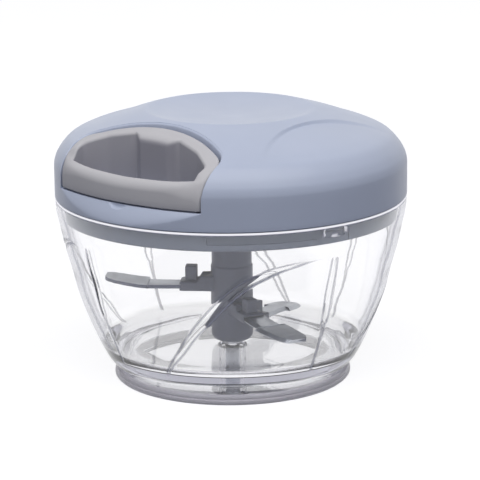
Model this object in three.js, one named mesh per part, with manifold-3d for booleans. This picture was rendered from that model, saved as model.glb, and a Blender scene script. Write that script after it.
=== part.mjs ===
// Pull-cord food chopper: a clear bowl, a blade unit that turns on a pin, and a domed lid with a
// cord reel and a docked pull handle. Millimetres, +Z up. The origin is on the table under the
// middle of the bowl, and the handle pulls out along -Y.

import * as THREE from "three";
import { mergeVertices } from "three/addons/utils/BufferGeometryUtils.js";
import Module from "manifold-3d";

const wasm = await Module();
wasm.setup();

// Driving dimensions of the whole chopper
const lidRadius = 62.3;
const lidEdgeHeight = 66.6;
const lidBandHeight = 12.4;
const bowlFlare = 21.2;
const waistHeight = 3.7;
const floorHeight = 11.2;
const hubRadius = 7.5;
const spindleRadius = 3.2;
const reelFlange = 23.5;
const handleMargin = 30.9;
const gap = 0.3;
const overrun = 1;

// Facet counts
const wideSides = 56;
const middleSides = 28;
const smallSides = 12;
const cordSides = 8;

const fullTurn = 2 * Math.PI;
const rightAngle = 90;
const degrees = Math.PI / 180;

// Finishes: colour, roughness and metalness of each material
const finish = (color, roughness, metalness, opacity) =>
  new THREE.MeshStandardMaterial({
    color, roughness, metalness, opacity: opacity ?? 1, transparent: opacity !== undefined,
  });
const clearPlastic = finish("#e6e8ee", 0.08, 0, 0.35);
const ringPlastic = finish("#c9c6c4", 0.35, 0, 0.6);
const lidPlastic = finish("#9aa3b8", 0.5, 0);
const skirtPlastic = finish("#7d8290", 0.45, 0);
const gripPlastic = finish("#a9a8ab", 0.45, 0);
const hubPlastic = finish("#5f626c", 0.5, 0);
const gearPlastic = finish("#e4e2da", 0.45, 0);
const bladeSteel = finish("#b9bcc2", 0.25, 1);
const pinSteel = finish("#a5a8ad", 0.3, 1);
const springSteel = finish("#5c6068", 0.35, 1);
const screwSteel = finish("#8e9096", 0.35, 1);
const sealRubber = finish("#e2e2e0", 0.6, 0);
const cordNylon = finish("#d8d8d4", 0.8, 0);

// Geometry helpers

const weldTolerance = 1e-4;

// Welds a geometry's shared vertices, drops triangles without area and turns its faces outward.
function weld(geometry) {
  const bare = geometry.clone();
  for (const name of ["normal", "uv"]) bare.deleteAttribute(name);
  const merged = mergeVertices(bare, weldTolerance);
  const index = merged.index.array;
  const kept = [];
  let volume = 0;
  const corner = [new THREE.Vector3(), new THREE.Vector3(), new THREE.Vector3()];
  for (let i = 0; i < index.length; i += 3) {
    const [a, b, c] = [index[i], index[i + 1], index[i + 2]];
    if (a === b || b === c || c === a) continue;
    kept.push(a, b, c);
    corner.forEach((p, k) => p.fromBufferAttribute(merged.attributes.position, index[i + k]));
    volume += corner[0].dot(corner[1].clone().cross(corner[2]));
  }
  if (volume < 0) {
    for (let i = 0; i < kept.length; i += 3) [kept[i], kept[i + 1]] = [kept[i + 1], kept[i]];
  }
  merged.setIndex(kept);
  return merged;
}

// Makes a boolean solid from a closed geometry.
function solid(geometry) {
  const welded = weld(geometry);
  return new wasm.Manifold(new wasm.Mesh({
    numProp: 3,
    vertProperties: new Float32Array(welded.attributes.position.array),
    triVerts: new Uint32Array(welded.index.array),
  }));
}

// Gives a boolean solid back as a geometry.
function geometryOf(body) {
  const mesh = body.getMesh();
  const geometry = new THREE.BufferGeometry();
  geometry.setAttribute("position", new THREE.BufferAttribute(mesh.vertProperties, 3));
  geometry.setIndex(new THREE.BufferAttribute(mesh.triVerts, 1));
  return geometry;
}

const joined = (first, ...others) => others.reduce((sum, other) => sum.add(other), first);
const cutBy = (first, ...others) => others.reduce((rest, other) => rest.subtract(other), first);

// Turns a closed [radius, height] outline about the Z axis.
function turned(outline, sides) {
  const points = outline.map(([r, z]) => new THREE.Vector2(r, z));
  points.push(points[0].clone());
  return solid(new THREE.LatheGeometry(points, sides).rotateX(Math.PI / 2));
}

// A ring or, with no inner radius, a disc between two heights.
const ring = (inner, outer, low, high, sides) =>
  turned([[inner, low], [outer, low], [outer, high], [inner, high]], sides);

// Raises a flat [x, y] outline from one height to another.
function raised(outline, low, high) {
  const shape = new THREE.Shape(outline.map(([x, y]) => new THREE.Vector2(x, y)));
  const geometry = new THREE.ExtrudeGeometry(shape, { depth: high - low, bevelEnabled: false });
  return solid(geometry.translate(0, 0, low));
}

// Joins rings of points, all of one length, into a closed solid with flat ends.
function lofted(rings) {
  const count = rings[0].length;
  const positions = rings.flat().flatMap((p) => [p.x, p.y, p.z]);
  const index = [];
  for (let i = 0; i + 1 < rings.length; i += 1) {
    for (let k = 0; k < count; k += 1) {
      const [a, b] = [i * count + k, i * count + ((k + 1) % count)];
      index.push(a, b, b + count, a, b + count, a + count);
    }
  }
  const last = (rings.length - 1) * count;
  for (let k = 1; k + 1 < count; k += 1) {
    index.push(0, k + 1, k, last, last + k, last + k + 1);
  }
  const geometry = new THREE.BufferGeometry();
  geometry.setAttribute("position", new THREE.Float32BufferAttribute(positions, 3));
  geometry.setIndex(index);
  return solid(geometry);
}

// A tube of round section along a curve.
function tube(curve, radius, sides, steps) {
  const section = new THREE.Shape();
  for (let k = 0; k < sides; k += 1) {
    const angle = (k * fullTurn) / sides;
    const point = [radius * Math.cos(angle), radius * Math.sin(angle)];
    if (k === 0) section.moveTo(...point);
    else section.lineTo(...point);
  }
  return solid(new THREE.ExtrudeGeometry(section, { steps, extrudePath: curve }));
}

// A point at an angle from the handle's side (-Y), turning towards +X, at a radius and height.
const around = (angle, radius, height) =>
  new THREE.Vector3(radius * Math.sin(angle), -radius * Math.cos(angle), height);

// A block of a ring between two angles, counted as in around().
function arcBlock(inner, outer, from, to, low, high, steps) {
  const outline = [];
  for (let i = 0; i <= steps; i += 1) {
    const p = around(from + ((to - from) * i) / steps, outer, 0);
    outline.push([p.x, p.y]);
  }
  for (let i = steps; i >= 0; i -= 1) {
    const p = around(from + ((to - from) * i) / steps, inner, 0);
    outline.push([p.x, p.y]);
  }
  return raised(outline, low, high);
}

// Straight-line reading of a table of [key, value] pairs.
function read(table, key) {
  const rising = table[0][0] < table[table.length - 1][0] ? table : [...table].reverse();
  if (key <= rising[0][0]) return rising[0][1];
  for (let i = 1; i < rising.length; i += 1) {
    const [x0, y0] = rising[i - 1];
    const [x1, y1] = rising[i];
    if (key <= x1) return y0 + ((y1 - y0) * (key - x0)) / (x1 - x0);
  }
  return rising[rising.length - 1][1];
}

const chopper = new THREE.Group();

// Adds a solid to the chopper as a named mesh.
function add(name, body, material) {
  const mesh = new THREE.Mesh(geometryOf(body), material);
  mesh.name = name;
  chopper.add(mesh);
}

// Bowl: an outer wall that swells from the waist above the foot to the rim
const rimInset = 0.2;
const rimRadius = lidRadius - rimInset;
const waistRadius = rimRadius - bowlFlare;
const bowlWall = 2;
const rimHeight = lidEdgeHeight - gap;
const floorThickness = 2.2;
const floorInset = 1.9;
const floorFlatRadius = waistRadius - floorInset;
const floorCurveHeight = 4;
const footInset = 1.5;
const footRadius = waistRadius - footInset;
const footWall = 2.4;
const footClearance = 0.9;
const pinRadius = 2.5;
const pinBossRadius = 7;
const pinBossLow = 2.4;
// Shares of the way from the waist to the rim: [radius, height]
const bowlShares = [
  [0, 0], [0.061, 0.024], [0.179, 0.072], [0.255, 0.118], [0.415, 0.236], [0.557, 0.355],
  [0.675, 0.473], [0.759, 0.591], [0.858, 0.709], [0.934, 0.827], [1, 0.946], [1, 1],
];
const bowlOutside = bowlShares.map(([across, up]) => [
  waistRadius + across * (rimRadius - waistRadius),
  waistHeight + up * (rimHeight - waistHeight),
]);
const bowlRadiusAt = (height) => read(bowlOutside.map(([r, z]) => [z, r]), height);
const bowlCurveTop = floorHeight + floorCurveHeight;
const bowlInside = [
  [bowlRadiusAt(bowlCurveTop) - bowlWall, bowlCurveTop],
  ...bowlOutside.filter(([, z], k) => z > bowlCurveTop + overrun && k % 2 === 1)
    .map(([r, z]) => [r - bowlWall, z]),
];
const floorCurveShare = [0.6, 0.3];
const floorCorner = [
  floorFlatRadius + floorCurveShare[0] * (bowlInside[0][0] - floorFlatRadius),
  floorHeight + floorCurveShare[1] * floorCurveHeight,
];
const floorLow = floorHeight - floorThickness;

// Bayonet: three lugs inside the bowl's rim and a track for each in the lid's skirt
const lugCount = 3;
const firstLugAngle = 110 * degrees;
const lugLength = 8;
const lugDrop = 4.4;
const lugThickness = 1.9;
const lugLow = rimHeight - lugDrop;
const lugHigh = lugLow + lugThickness;
const lugReach = 1.8;
const lockTurn = 35 * degrees;
const rimBore = rimRadius - bowlWall;
const lugSpan = lugLength / rimBore;
const lugAngles = Array.from({ length: lugCount }, (_, k) => firstLugAngle + (k * fullTurn) / lugCount);

function makeBowl() {
  const shell = turned([
    [pinRadius + gap, pinBossLow],
    [pinRadius + gap, floorHeight],
    [floorFlatRadius, floorHeight],
    floorCorner,
    ...bowlInside,
    ...[...bowlOutside].reverse(),
    [footRadius, waistHeight],
    [footRadius, footClearance],
    [footRadius - footWall, footClearance],
    [footRadius - footWall, floorLow],
    [pinBossRadius, floorLow],
    [pinBossRadius, pinBossLow],
  ], wideSides);
  const lugs = lugAngles.map((angle) => arcBlock(
    rimBore - lugReach, rimBore + bowlWall / 2, angle - lugSpan / 2, angle + lugSpan / 2,
    lugLow, lugHigh, 3,
  ));
  return joined(shell, ...lugs);
}
add("bowl", makeBowl(), clearPlastic);

// Non-slip ring on the foot, with a lip under the foot's edge
const footRingReach = 1.4;
const footRingRadius = waistRadius + footRingReach;
const footRingRound = 0.7;
const footRingHigh = waistHeight - gap;
const footLip = footClearance - gap;
const footLipInner = footRadius - footWall - gap;
add("foot_ring", turned([
  [footLipInner, 0],
  [footRingRadius - footRingRound / 2, 0],
  [footRingRadius, footRingRound],
  [footRingRadius, footRingHigh - footRingRound],
  [footRingRadius - footRingRound, footRingHigh],
  [footRadius + gap, footRingHigh],
  [footRadius + gap, footLip],
  [footLipInner, footLip],
], wideSides), ringPlastic);

// Steel pin in the middle of the floor, with its head under the boss
const pinRise = 18.8;
const pinTop = floorHeight + pinRise;
const pinTipRound = 1.2;
const pinHeadRadius = 4.6;
const pinHeadThickness = 1.2;
add("spindle_pin", turned([
  [0, pinBossLow - gap - pinHeadThickness],
  [pinHeadRadius, pinBossLow - gap - pinHeadThickness],
  [pinHeadRadius, pinBossLow - gap],
  [pinRadius, pinBossLow - gap],
  [pinRadius, pinTop - pinTipRound],
  [pinRadius - pinTipRound, pinTop],
  [0, pinTop],
], smallSides), pinSteel);

// Blade unit: hub with three arms, each with a slot for a blade and a peg through both
const hubRunning = 1.2;
const hubHeadroom = 5.6;
const hubLow = floorHeight + hubRunning;
const hubTop = lidEdgeHeight - hubHeadroom;
const hubRound = 2.2;
const hubRoundShare = 0.3;
const hubBushWall = 1.2;
const hubBushLength = 14;
const hubBoreRadius = pinRadius + hubBushWall + 2 * gap;
const hubBoreRoom = 3;
const hubBoreTop = pinTop + hubBoreRoom;
const socketWall = 1.5;
const socketRadius = hubRadius - socketWall;
const socketDepth = 14;
const socketRibWidth = 2.4;
const armLength = 11.1;
const armReach = hubRadius + armLength;
const armWidth = 8;
const armHeight = 5.2;
const armShoulder = 4;
const armSlotStart = hubRadius + armShoulder;
const bladeThickness = 1.2;
const pegRadius = 1.6;
const pegHeadSide = 4.2;
const pegHeadHeight = 4.4;
const pegInset = 3;
const pegPlace = armSlotStart + pegInset;
// Blade levels: the lift of each above the floor, and the rise of its tip
const bladeCount = 3;
const bladeSpacing = fullTurn / bladeCount;
const firstBladeAngle = -55 * degrees;
const upperLift = 21.2;
const upperRise = 4.5;
const middleLift = 13;
const middleRise = -6;
const lowerLift = 5.4;
const lowerRise = 1.5;
const blades = [
  { name: "upper", lift: upperLift, rise: upperRise },
  { name: "middle", lift: middleLift, rise: middleRise },
  { name: "lower", lift: lowerLift, rise: lowerRise },
].map((blade, k) => ({
  ...blade, height: floorHeight + blade.lift, angle: firstBladeAngle + k * bladeSpacing,
}));

// A box along the arm's direction, turned to the blade's angle.
function armBox(angle, from, to, width, low, high) {
  const outline = [[from, -width / 2], [to, -width / 2], [to, width / 2], [from, width / 2]];
  return raised(outline, low, high).rotate([0, 0, angle / degrees - rightAngle]);
}

// A round pin standing at a place on the arm.
const armPin = (angle, place, radius, low, high) => {
  const at = around(angle, place, 0);
  return ring(0, radius, low, high, smallSides).translate([at.x, at.y, 0]);
};

// The drive dog in the socket turns the hub by two ribs, with room for the lid's lock turn.
const dogWidth = 2.6;
const ribInner = spindleRadius + 2 * gap;
const ribLead = Math.asin((dogWidth / 2 + gap) / Math.hypot(ribInner, socketRibWidth / 2))
  + Math.atan2(socketRibWidth / 2, ribInner);

function makeHub() {
  const post = turned([
    [0, hubLow], [hubRadius - hubRound, hubLow],
    [hubRadius - hubRoundShare * hubRound, hubLow + hubRoundShare * hubRound],
    [hubRadius, hubLow + hubRound],
    [hubRadius, hubTop], [0, hubTop],
  ], middleSides);
  const arms = blades.map((blade) => armBox(
    blade.angle, 0, armReach, armWidth, blade.height - armHeight / 2, blade.height + armHeight / 2));
  const slots = blades.map((blade) => armBox(
    blade.angle, armSlotStart, armReach + overrun, armWidth + 2 * overrun,
    blade.height - bladeThickness / 2 - gap, blade.height + bladeThickness / 2 + gap));
  const pegHoles = blades.map((blade) => armPin(
    blade.angle, pegPlace, pegRadius + gap, blade.height - armHeight, blade.height + armHeight));
  const bore = ring(0, hubBoreRadius, hubLow - overrun, hubBoreTop, smallSides);
  const socket = ring(0, socketRadius, hubTop - socketDepth, hubTop + overrun, middleSides);
  const ribs = [0, Math.PI].map((half) => raised([
    [ribInner, -socketRibWidth / 2], [hubRadius - overrun, -socketRibWidth / 2],
    [hubRadius - overrun, socketRibWidth / 2], [ribInner, socketRibWidth / 2],
  ], hubTop - socketDepth - overrun, hubTop).rotate([0, 0, (half - ribLead) / degrees]));
  return joined(cutBy(joined(post, ...arms), ...slots, ...pegHoles, bore, socket), ...ribs);
}
add("blade_hub", makeHub(), hubPlastic);

add("hub_bush", ring(
  pinRadius + gap, hubBoreRadius - gap, hubLow + gap, hubLow + gap + hubBushLength, smallSides,
), gearPlastic);

// Blade: a curved strip, wide at the root and pointed at the tip, with a ground leading edge
const bladeClearance = 1.5;
const bladeReach = bowlRadiusAt(floorHeight + lowerLift + lowerRise) - bowlWall - bladeClearance;
const bladeWidth = 7.4;
const bladeBelly = 11.5;
const bladeTipWidth = 1.2;
const bladeSweep = 9;
const bladeBevel = 2.2;
const bladeRoot = armSlotStart + gap;
// Shares along the blade: [distance, width from the root's to the belly's, sweep, rise]
const bladeStationShares = [
  [0, 0, 0, 0], [0.14, 0.05, 0, 0], [0.26, 0.8, 0.02, 0.02], [0.4, 1, 0.08, 0.1],
  [0.55, 0.95, 0.22, 0.24], [0.7, 0.7, 0.42, 0.45], [0.83, 0.3, 0.65, 0.68], [0.93, -0.15, 0.85, 0.86],
];

function makeBlade(blade) {
  const section = (along, width, sweep, rise) => {
    const back = sweep + width / 2;
    const front = sweep - width / 2;
    const bevel = Math.min(bladeBevel, width / 2);
    const half = bladeThickness / 2;
    return [
      new THREE.Vector3(along, back, rise - half), new THREE.Vector3(along, back, rise + half),
      new THREE.Vector3(along, front + bevel, rise + half), new THREE.Vector3(along, front, rise - half),
    ];
  };
  const length = bladeReach - bladeRoot;
  const rings = bladeStationShares.map(([along, wide, sweep, rise]) => section(
    bladeRoot + along * length, bladeWidth + wide * (bladeBelly - bladeWidth),
    sweep * bladeSweep, rise * blade.rise,
  ));
  rings.push(section(bladeReach, bladeTipWidth, bladeSweep, blade.rise));
  const strip = lofted(rings).translate([0, 0, blade.height])
    .rotate([0, 0, blade.angle / degrees - rightAngle]);
  return cutBy(strip, armPin(
    blade.angle, pegPlace, pegRadius + gap, blade.height - armHeight, blade.height + armHeight));
}

// Peg: a shank through the arm and the blade, with a square head above the arm
function makePeg(blade) {
  const armTop = blade.height + armHeight / 2;
  const shank = armPin(
    blade.angle, pegPlace, pegRadius, blade.height - armHeight / 2, armTop + gap + overrun);
  const head = armBox(blade.angle, pegPlace - pegHeadSide / 2, pegPlace + pegHeadSide / 2, pegHeadSide,
    armTop + gap, armTop + gap + pegHeadHeight);
  return joined(head, shank);
}
for (const blade of blades) {
  add(`blade_${blade.name}`, makeBlade(blade), bladeSteel);
  add(`blade_peg_${blade.name}`, makePeg(blade), hubPlastic);
}

// Lid base: plate inside the cover, with a skirt that goes into the bowl's mouth
const coverWall = 2;
const coverBore = lidRadius - coverWall;
const plateInset = 0.9;
const plateLow = lidEdgeHeight + plateInset;
const plateThickness = 2;
const plateHigh = plateLow + plateThickness;
const skirtWall = 2.6;
const skirtRadius = rimBore - 2 * gap;
const skirtDepth = 6.9;
const skirtLow = lidEdgeHeight - skirtDepth;
const skirtLowRadius = bowlRadiusAt(skirtLow) - bowlWall - 2 * gap;
const sealHeight = 1.3;
const sealHigh = lidEdgeHeight - gap;
const sealLow = sealHigh - sealHeight;
const sealDepth = 1.3;
const trackEndLength = 8.4;
const trackFloor = rimBore - lugReach - gap;
const entryLength = 13.4;
const entrySpan = entryLength / rimBore;
const trackEndSpan = trackEndLength / rimBore;
const bushWall = 1.4;
const bushFlange = 8;
const bushFlangeThickness = 0.8;
const bushBore = spindleRadius + gap;
const bushRadius = bushBore + bushWall;
const coverScrewCount = 4;
const coverScrewInset = 17.3;
const coverScrewPlace = lidRadius - coverScrewInset;
const coverScrewRadius = 1.1;
const coverScrewHead = 3;
const coverScrewHeadThickness = 1.5;
const coverScrewGrip = 7.5;
const coverScrewTip = plateHigh + coverScrewGrip;
const firstCoverScrewAngle = 45 * degrees;
const capWall = 1.6;
const capBore = reelFlange + 2 * gap;
const capRadius = capBore + capWall;
const capScrewCount = 3;
const capScrewInset = 5.3;
const capScrewPlace = capRadius + capScrewInset;
const capScrewRadius = 1.1;
const capScrewHead = 2.6;
const capScrewHeadThickness = 1.4;
const capPostRadius = 3.2;
const capPostDepth = 3.5;
const capPostLow = plateLow - capPostDepth;
const firstCapScrewAngle = 60 * degrees;
const holeFit = 0.3;

// Places round the middle, from a first angle.
const places = (count, first, radius) => Array.from({ length: count }, (_, k) =>
  around(first + (k * fullTurn) / count, radius, 0));
const coverScrewPlaces = places(coverScrewCount, firstCoverScrewAngle, coverScrewPlace);
const capScrewPlaces = places(capScrewCount, firstCapScrewAngle, capScrewPlace);
const standing = (place, radius, low, high) =>
  ring(0, radius, low, high, smallSides).translate([place.x, place.y, 0]);

function makeLidBase() {
  const body = turned([
    [bushRadius + gap, plateLow],
    [skirtRadius - skirtWall, plateLow],
    [skirtRadius - skirtWall, skirtLow],
    [skirtLowRadius, skirtLow],
    [skirtRadius, sealLow - gap],
    [skirtRadius - sealDepth, sealLow - gap],
    [skirtRadius - sealDepth, sealHigh + gap],
    [coverBore - gap, sealHigh + gap],
    [coverBore - gap, plateHigh],
    [bushRadius + gap, plateHigh],
  ], wideSides);
  const posts = capScrewPlaces.map((p) => standing(p, capPostRadius, capPostLow, plateLow + overrun));
  const entries = lugAngles.map((angle) => arcBlock(
    trackFloor, rimRadius, angle - entrySpan / 2, angle + entrySpan / 2,
    skirtLow - overrun, lugHigh + gap, 4));
  const tracks = lugAngles.map((angle) => arcBlock(
    trackFloor, rimRadius, angle - lockTurn - trackEndSpan, angle, lugLow - gap, lugHigh + gap, 10));
  const holes = [
    ...capScrewPlaces.map((p) => standing(
      p, capScrewRadius + holeFit, capPostLow + overrun / 2, plateHigh + overrun)),
    ...coverScrewPlaces.map((p) => standing(
      p, coverScrewRadius + holeFit, plateLow - overrun, plateHigh + overrun)),
  ];
  return cutBy(joined(body, ...posts), ...entries, ...tracks, ...holes);
}
add("lid_base", makeLidBase(), skirtPlastic);

// Seal ring in the skirt's groove, bearing on the inside of the bowl's rim
const sealInner = skirtRadius - sealDepth + gap;
add("lid_seal", ring(sealInner, rimBore - gap, sealLow, sealHigh, wideSides), sealRubber);

// Stack of the drive from the lid's plate up to the dish in the cover's top
const spindleFlangeThickness = 1.4;
const flangeThickness = 1.4;
const grooveHalf = 3;
const springWidth = 4;
const capRoofThickness = 1.6;
const capHeadroom = 4.2;
const dishDepth = 2.4;
const spindleFlangeLow = plateHigh + gap + bushFlangeThickness + gap;
const reelLow = spindleFlangeLow + spindleFlangeThickness + gap;
const cordHeight = reelLow + flangeThickness + grooveHalf;
const cupFloor = cordHeight + grooveHalf + flangeThickness;
const cupTop = cupFloor + springWidth + 2 * gap;
const capRoof = cupTop + gap;
const shoulderHeight = lidEdgeHeight + lidBandHeight;
const lidTopHeight = capRoof + capRoofThickness + capHeadroom + coverWall + dishDepth;

// Handle and the pocket it docks in. Along is the distance from the axis towards the handle's
// side and across is sideways, so a plan point [along, across] lies at x = across, y = -along.
const pocketClearance = 0.6;
const linerWall = 1.8;
const guideFlangeThickness = 1;
const guideClearance = 3.6;
const linerBack = capRadius + guideClearance + guideFlangeThickness + gap;
const handleBack = linerBack + linerWall + pocketClearance;
const handleInset = 0.5;
const handleFace = lidRadius - handleInset;
const handleLength = handleFace - handleBack;
const handleHalf = lidRadius - handleMargin;
const handleCornerShare = 0.295;
const handleCorner = handleBack + handleCornerShare * handleLength;
const handleDrop = 3.7;
const handleLow = cordHeight - handleDrop;
const cornerCut = 4;
const barDepth = 8.2;
const barInnerEdge = handleFace - barDepth;
const barHeight = 9;
const backBar = 4.5;
const holeBack = handleBack + backBar;
const holeBackHalf = 11;
const holeFrontInset = 7.4;
const holeFrontHalf = handleHalf - holeFrontInset;
const holeSideInset = 5.4;
const holeSideHalf = handleHalf - holeSideInset;
const holeSideShare = 0.404;
const holeSide = holeBack + holeSideShare * (barInnerEdge - holeBack);
const bossHalf = 8;
const bossReach = 4;
const bossTip = holeBack + bossReach;
const bossTipHalf = 4;
const ledgeHeight = handleLow - pocketClearance;

// The back of the handle is an arc through its two corners and its nearest point.
const backRise = handleCorner - handleBack;
const backArcRadius = (handleHalf ** 2 + backRise ** 2) / (2 * backRise);
const backAt = (across, offset) =>
  handleBack - offset + backArcRadius + offset
  - Math.sqrt((backArcRadius + offset) ** 2 - across ** 2);

// Plan outline of the handle, grown by an offset, out to a front radius.
function handleOutline(offset, front) {
  const half = handleHalf + offset;
  const cornerStart = half - cornerCut;
  const outline = [];
  const steps = 10;
  for (let i = 0; i <= steps; i += 1) {
    const across = cornerStart * (1 - (2 * i) / steps);
    outline.push([backAt(across, offset), across]);
  }
  const sideStart = backAt(cornerStart, offset) + cornerCut;
  const roundShare = 0.3;
  const cornerMid = [
    sideStart - cornerCut * (1 - roundShare) + cornerCut * roundShare / 2, half - cornerCut * roundShare,
  ];
  outline.push([cornerMid[0], -cornerMid[1]], [sideStart, -half]);
  const frontAngle = Math.asin(half / front);
  for (let i = 0; i <= steps; i += 1) {
    const angle = -frontAngle + (2 * frontAngle * i) / steps;
    outline.push([front * Math.cos(angle), front * Math.sin(angle)]);
  }
  outline.push([sideStart, half], cornerMid);
  return outline.map(([along, across]) => [across, -along]);
}

// Plan outline of the finger hole, with the boss for the cord's knot at the back.
function holeOutline() {
  const frontAngle = Math.asin(holeFrontHalf / barInnerEdge);
  const steps = 8;
  const outline = [];
  for (let i = 0; i <= steps; i += 1) {
    const angle = -frontAngle + (2 * frontAngle * i) / steps;
    outline.push([barInnerEdge * Math.cos(angle), barInnerEdge * Math.sin(angle)]);
  }
  outline.push(
    [holeSide, holeSideHalf], [holeBack, holeBackHalf], [holeBack, bossHalf], [bossTip, bossTipHalf],
    [bossTip, -bossTipHalf], [holeBack, -bossHalf], [holeBack, -holeBackHalf], [holeSide, -holeSideHalf],
  );
  return outline.map(([along, across]) => [across, -along]);
}

// Cover's dome, from the shoulder to the rim of the dish: [radius share, height share]
const domeShares = [
  [1, 0], [0.997, 0.114], [0.962, 0.269], [0.904, 0.406], [0.816, 0.514],
  [0.7, 0.611], [0.525, 0.731], [0.292, 0.857], [0.117, 0.949], [0, 1],
];
const dishRadius = 28;
// The dish, from its rim to the middle: [radius share, depth share]
const dishShares = [[0.86, 0.42], [0.6, 0.78], [0.3, 0.95], [0, 1]];

// Outline of the dome, set in by an offset, from its foot at a low height. A hidden inside can
// take every second point of the tables.
function domeOutline(offset, low, step = 1) {
  const radius = lidRadius - offset;
  const top = lidTopHeight - offset;
  const dome = domeShares.filter((_, k) => k % step === 0).map(([across, up]) => [
    dishRadius + across * (radius - dishRadius), shoulderHeight + up * (top - shoulderHeight)]);
  const dish = dishShares.filter((_, k) => k % step === step - 1)
    .map(([across, down]) => [across * dishRadius, top - down * dishDepth]);
  return [[0, low], [radius, low], ...dome, ...dish];
}
const domeHeight = (radius) => read(domeOutline(0, lidEdgeHeight).slice(2), radius);

// Lobe: a shallow facet with a crescent step towards the dish, like the handle's back edge
const lobeSetback = 6;
const lobeNear = dishRadius + lobeSetback;
const lobeInset = 4.8;
const lobeRim = lidRadius - lobeInset;
const lobeHalfAngle = 38.5 * degrees;
const lobeDepth = 1.4;
const lobeSkin = 0.15;
const domeSides = 4;
const lobeAngles = Array.from({ length: domeSides - 1 }, (_, k) => ((k + 1) * fullTurn) / domeSides);

function lobeCutter(turn) {
  const across = 10;
  const out = 3;
  const rings = [];
  for (let i = 0; i <= across; i += 1) {
    const t = (2 * i) / across - 1;
    const inner = lobeNear + (lobeRim - lobeNear) * Math.abs(t) ** 3;
    const floor = [];
    for (let k = 0; k <= out; k += 1) {
      const s = k / out;
      const radius = inner + s * (lobeRim - inner);
      const depth = lobeDepth * (1 - t * t) * (1 - s);
      floor.push(around(turn + lobeHalfAngle * t, radius, domeHeight(radius) + lobeSkin - depth));
    }
    const top = [floor[out], floor[0]].map((p) => new THREE.Vector3(p.x, p.y, lidTopHeight + overrun));
    rings.push([...floor, ...top]);
  }
  return lofted(rings);
}

const guideRadius = 3;
const postRadius = 3.6;
const postHoleRoom = 2;
const postLow = plateHigh + gap;
const postHigh = domeHeight(coverScrewPlace + postRadius) - coverWall / 2;
const scoopRadius = 7;
const scoopDepth = 1.6;

// A cylinder that lies along the pull direction at a height.
const pullCylinder = (radius, from, to, height) => ring(0, radius, from, to, smallSides)
  .rotate([rightAngle, 0, 0]).translate([0, 0, height]);

function makeTopCover() {
  const outside = turned(domeOutline(0, lidEdgeHeight), wideSides);
  const inside = turned(domeOutline(coverWall, lidEdgeHeight - overrun, 2), wideSides);
  const liner = raised(
    handleOutline(pocketClearance + linerWall, lidRadius + overrun), ledgeHeight - linerWall, lidTopHeight);
  const pocket = raised(
    handleOutline(pocketClearance, lidRadius + overrun), ledgeHeight, lidTopHeight + overrun);
  const posts = coverScrewPlaces.map((p) => standing(p, postRadius, postLow, postHigh));
  const pilots = coverScrewPlaces.map((p) => standing(
    p, coverScrewRadius + holeFit, postLow - overrun, coverScrewTip + postHoleRoom));
  const scoop = pullCylinder(scoopRadius, lidRadius - scoopDepth, lidRadius + overrun,
    ledgeHeight + scoopRadius - scoopDepth);
  const shell = cutBy(outside, inside.subtract(liner), pocket, ...lobeAngles.map(lobeCutter));
  const guideHole = pullCylinder(guideRadius + gap, linerBack - overrun, handleBack + overrun, cordHeight);
  return cutBy(joined(shell, ...posts), ...pilots, guideHole, scoop);
}
add("top_cover", makeTopCover(), lidPlastic);

// Cord eyelet in the pocket's back wall, with its flange on the reel's side
const cordRadius = 0.9;
const guideFit = 0.5;
const guideBore = cordRadius + guideFit;
const guideFlange = 4.6;
const guideEnd = handleBack - pocketClearance - gap / 2;
add("cord_guide", turned([
  [guideBore, linerBack - gap - guideFlangeThickness],
  [guideFlange, linerBack - gap - guideFlangeThickness],
  [guideFlange, linerBack - gap],
  [guideRadius, linerBack - gap],
  [guideRadius, guideEnd],
  [guideBore, guideEnd],
], smallSides).rotate([rightAngle, 0, 0]).translate([0, 0, cordHeight]), gearPlastic);

// Handle: a D-shaped ring whose top follows the dome and drops to a lower front bar
const handleSink = 1.9;
// Side view of the top from the face back: [share of the length, share of the bar's height]
const handleProfileShares = [
  [1, 0.678], [0.965, 0.878], [0.882, 0.978], [0.625, 1], [0.521, 1.1], [0.368, 1.589],
];
const knotRadius = 1.7;
const knotDepth = 3.2;
const knotSeat = handleBack + knotDepth;
const knotChamber = {
  from: knotSeat, to: knotSeat + 2 * knotRadius + 2 * gap,
  half: knotRadius + gap, high: cordHeight + knotRadius + 2 * gap,
};
const cordFit = 0.4;
const cordBoreRadius = cordRadius + cordFit;

function makeHandle() {
  const top = lidTopHeight + overrun;
  const ringBody = cutBy(
    raised(handleOutline(0, handleFace), handleLow, top),
    raised(holeOutline(), handleLow - overrun, top + overrun));
  const dome = turned(domeOutline(handleSink, handleLow - overrun)
    .map(([r, z]) => [r > dishRadius ? r + handleSink : r, z]), wideSides);
  const side = handleProfileShares.map(([along, up]) => [
    handleBack + along * handleLength, handleLow + up * barHeight]);
  const profile = [
    [handleFace + overrun, handleLow - overrun], [handleFace + overrun, side[0][1]], ...side,
    [side[side.length - 1][0], top], [0, top], [0, handleLow - overrun],
  ];
  const shape = new THREE.Shape(profile.map(([along, up]) => new THREE.Vector2(along, up)));
  const width = 2 * (handleHalf + overrun);
  const sideSolid = solid(new THREE.ExtrudeGeometry(shape, { depth: width, bevelEnabled: false })
    .translate(0, 0, -width / 2).rotateX(Math.PI / 2).rotateZ(-Math.PI / 2));
  const chamber = raised([
    [-knotChamber.half, -knotChamber.to], [knotChamber.half, -knotChamber.to],
    [knotChamber.half, -knotChamber.from], [-knotChamber.half, -knotChamber.from],
  ], handleLow - overrun, knotChamber.high);
  const bore = pullCylinder(cordBoreRadius, handleBack - overrun, knotChamber.from + overrun, cordHeight);
  return cutBy(ringBody.intersect(dome).intersect(sideSolid), chamber, bore);
}
add("pull_handle", makeHandle(), gripPlastic);

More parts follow.
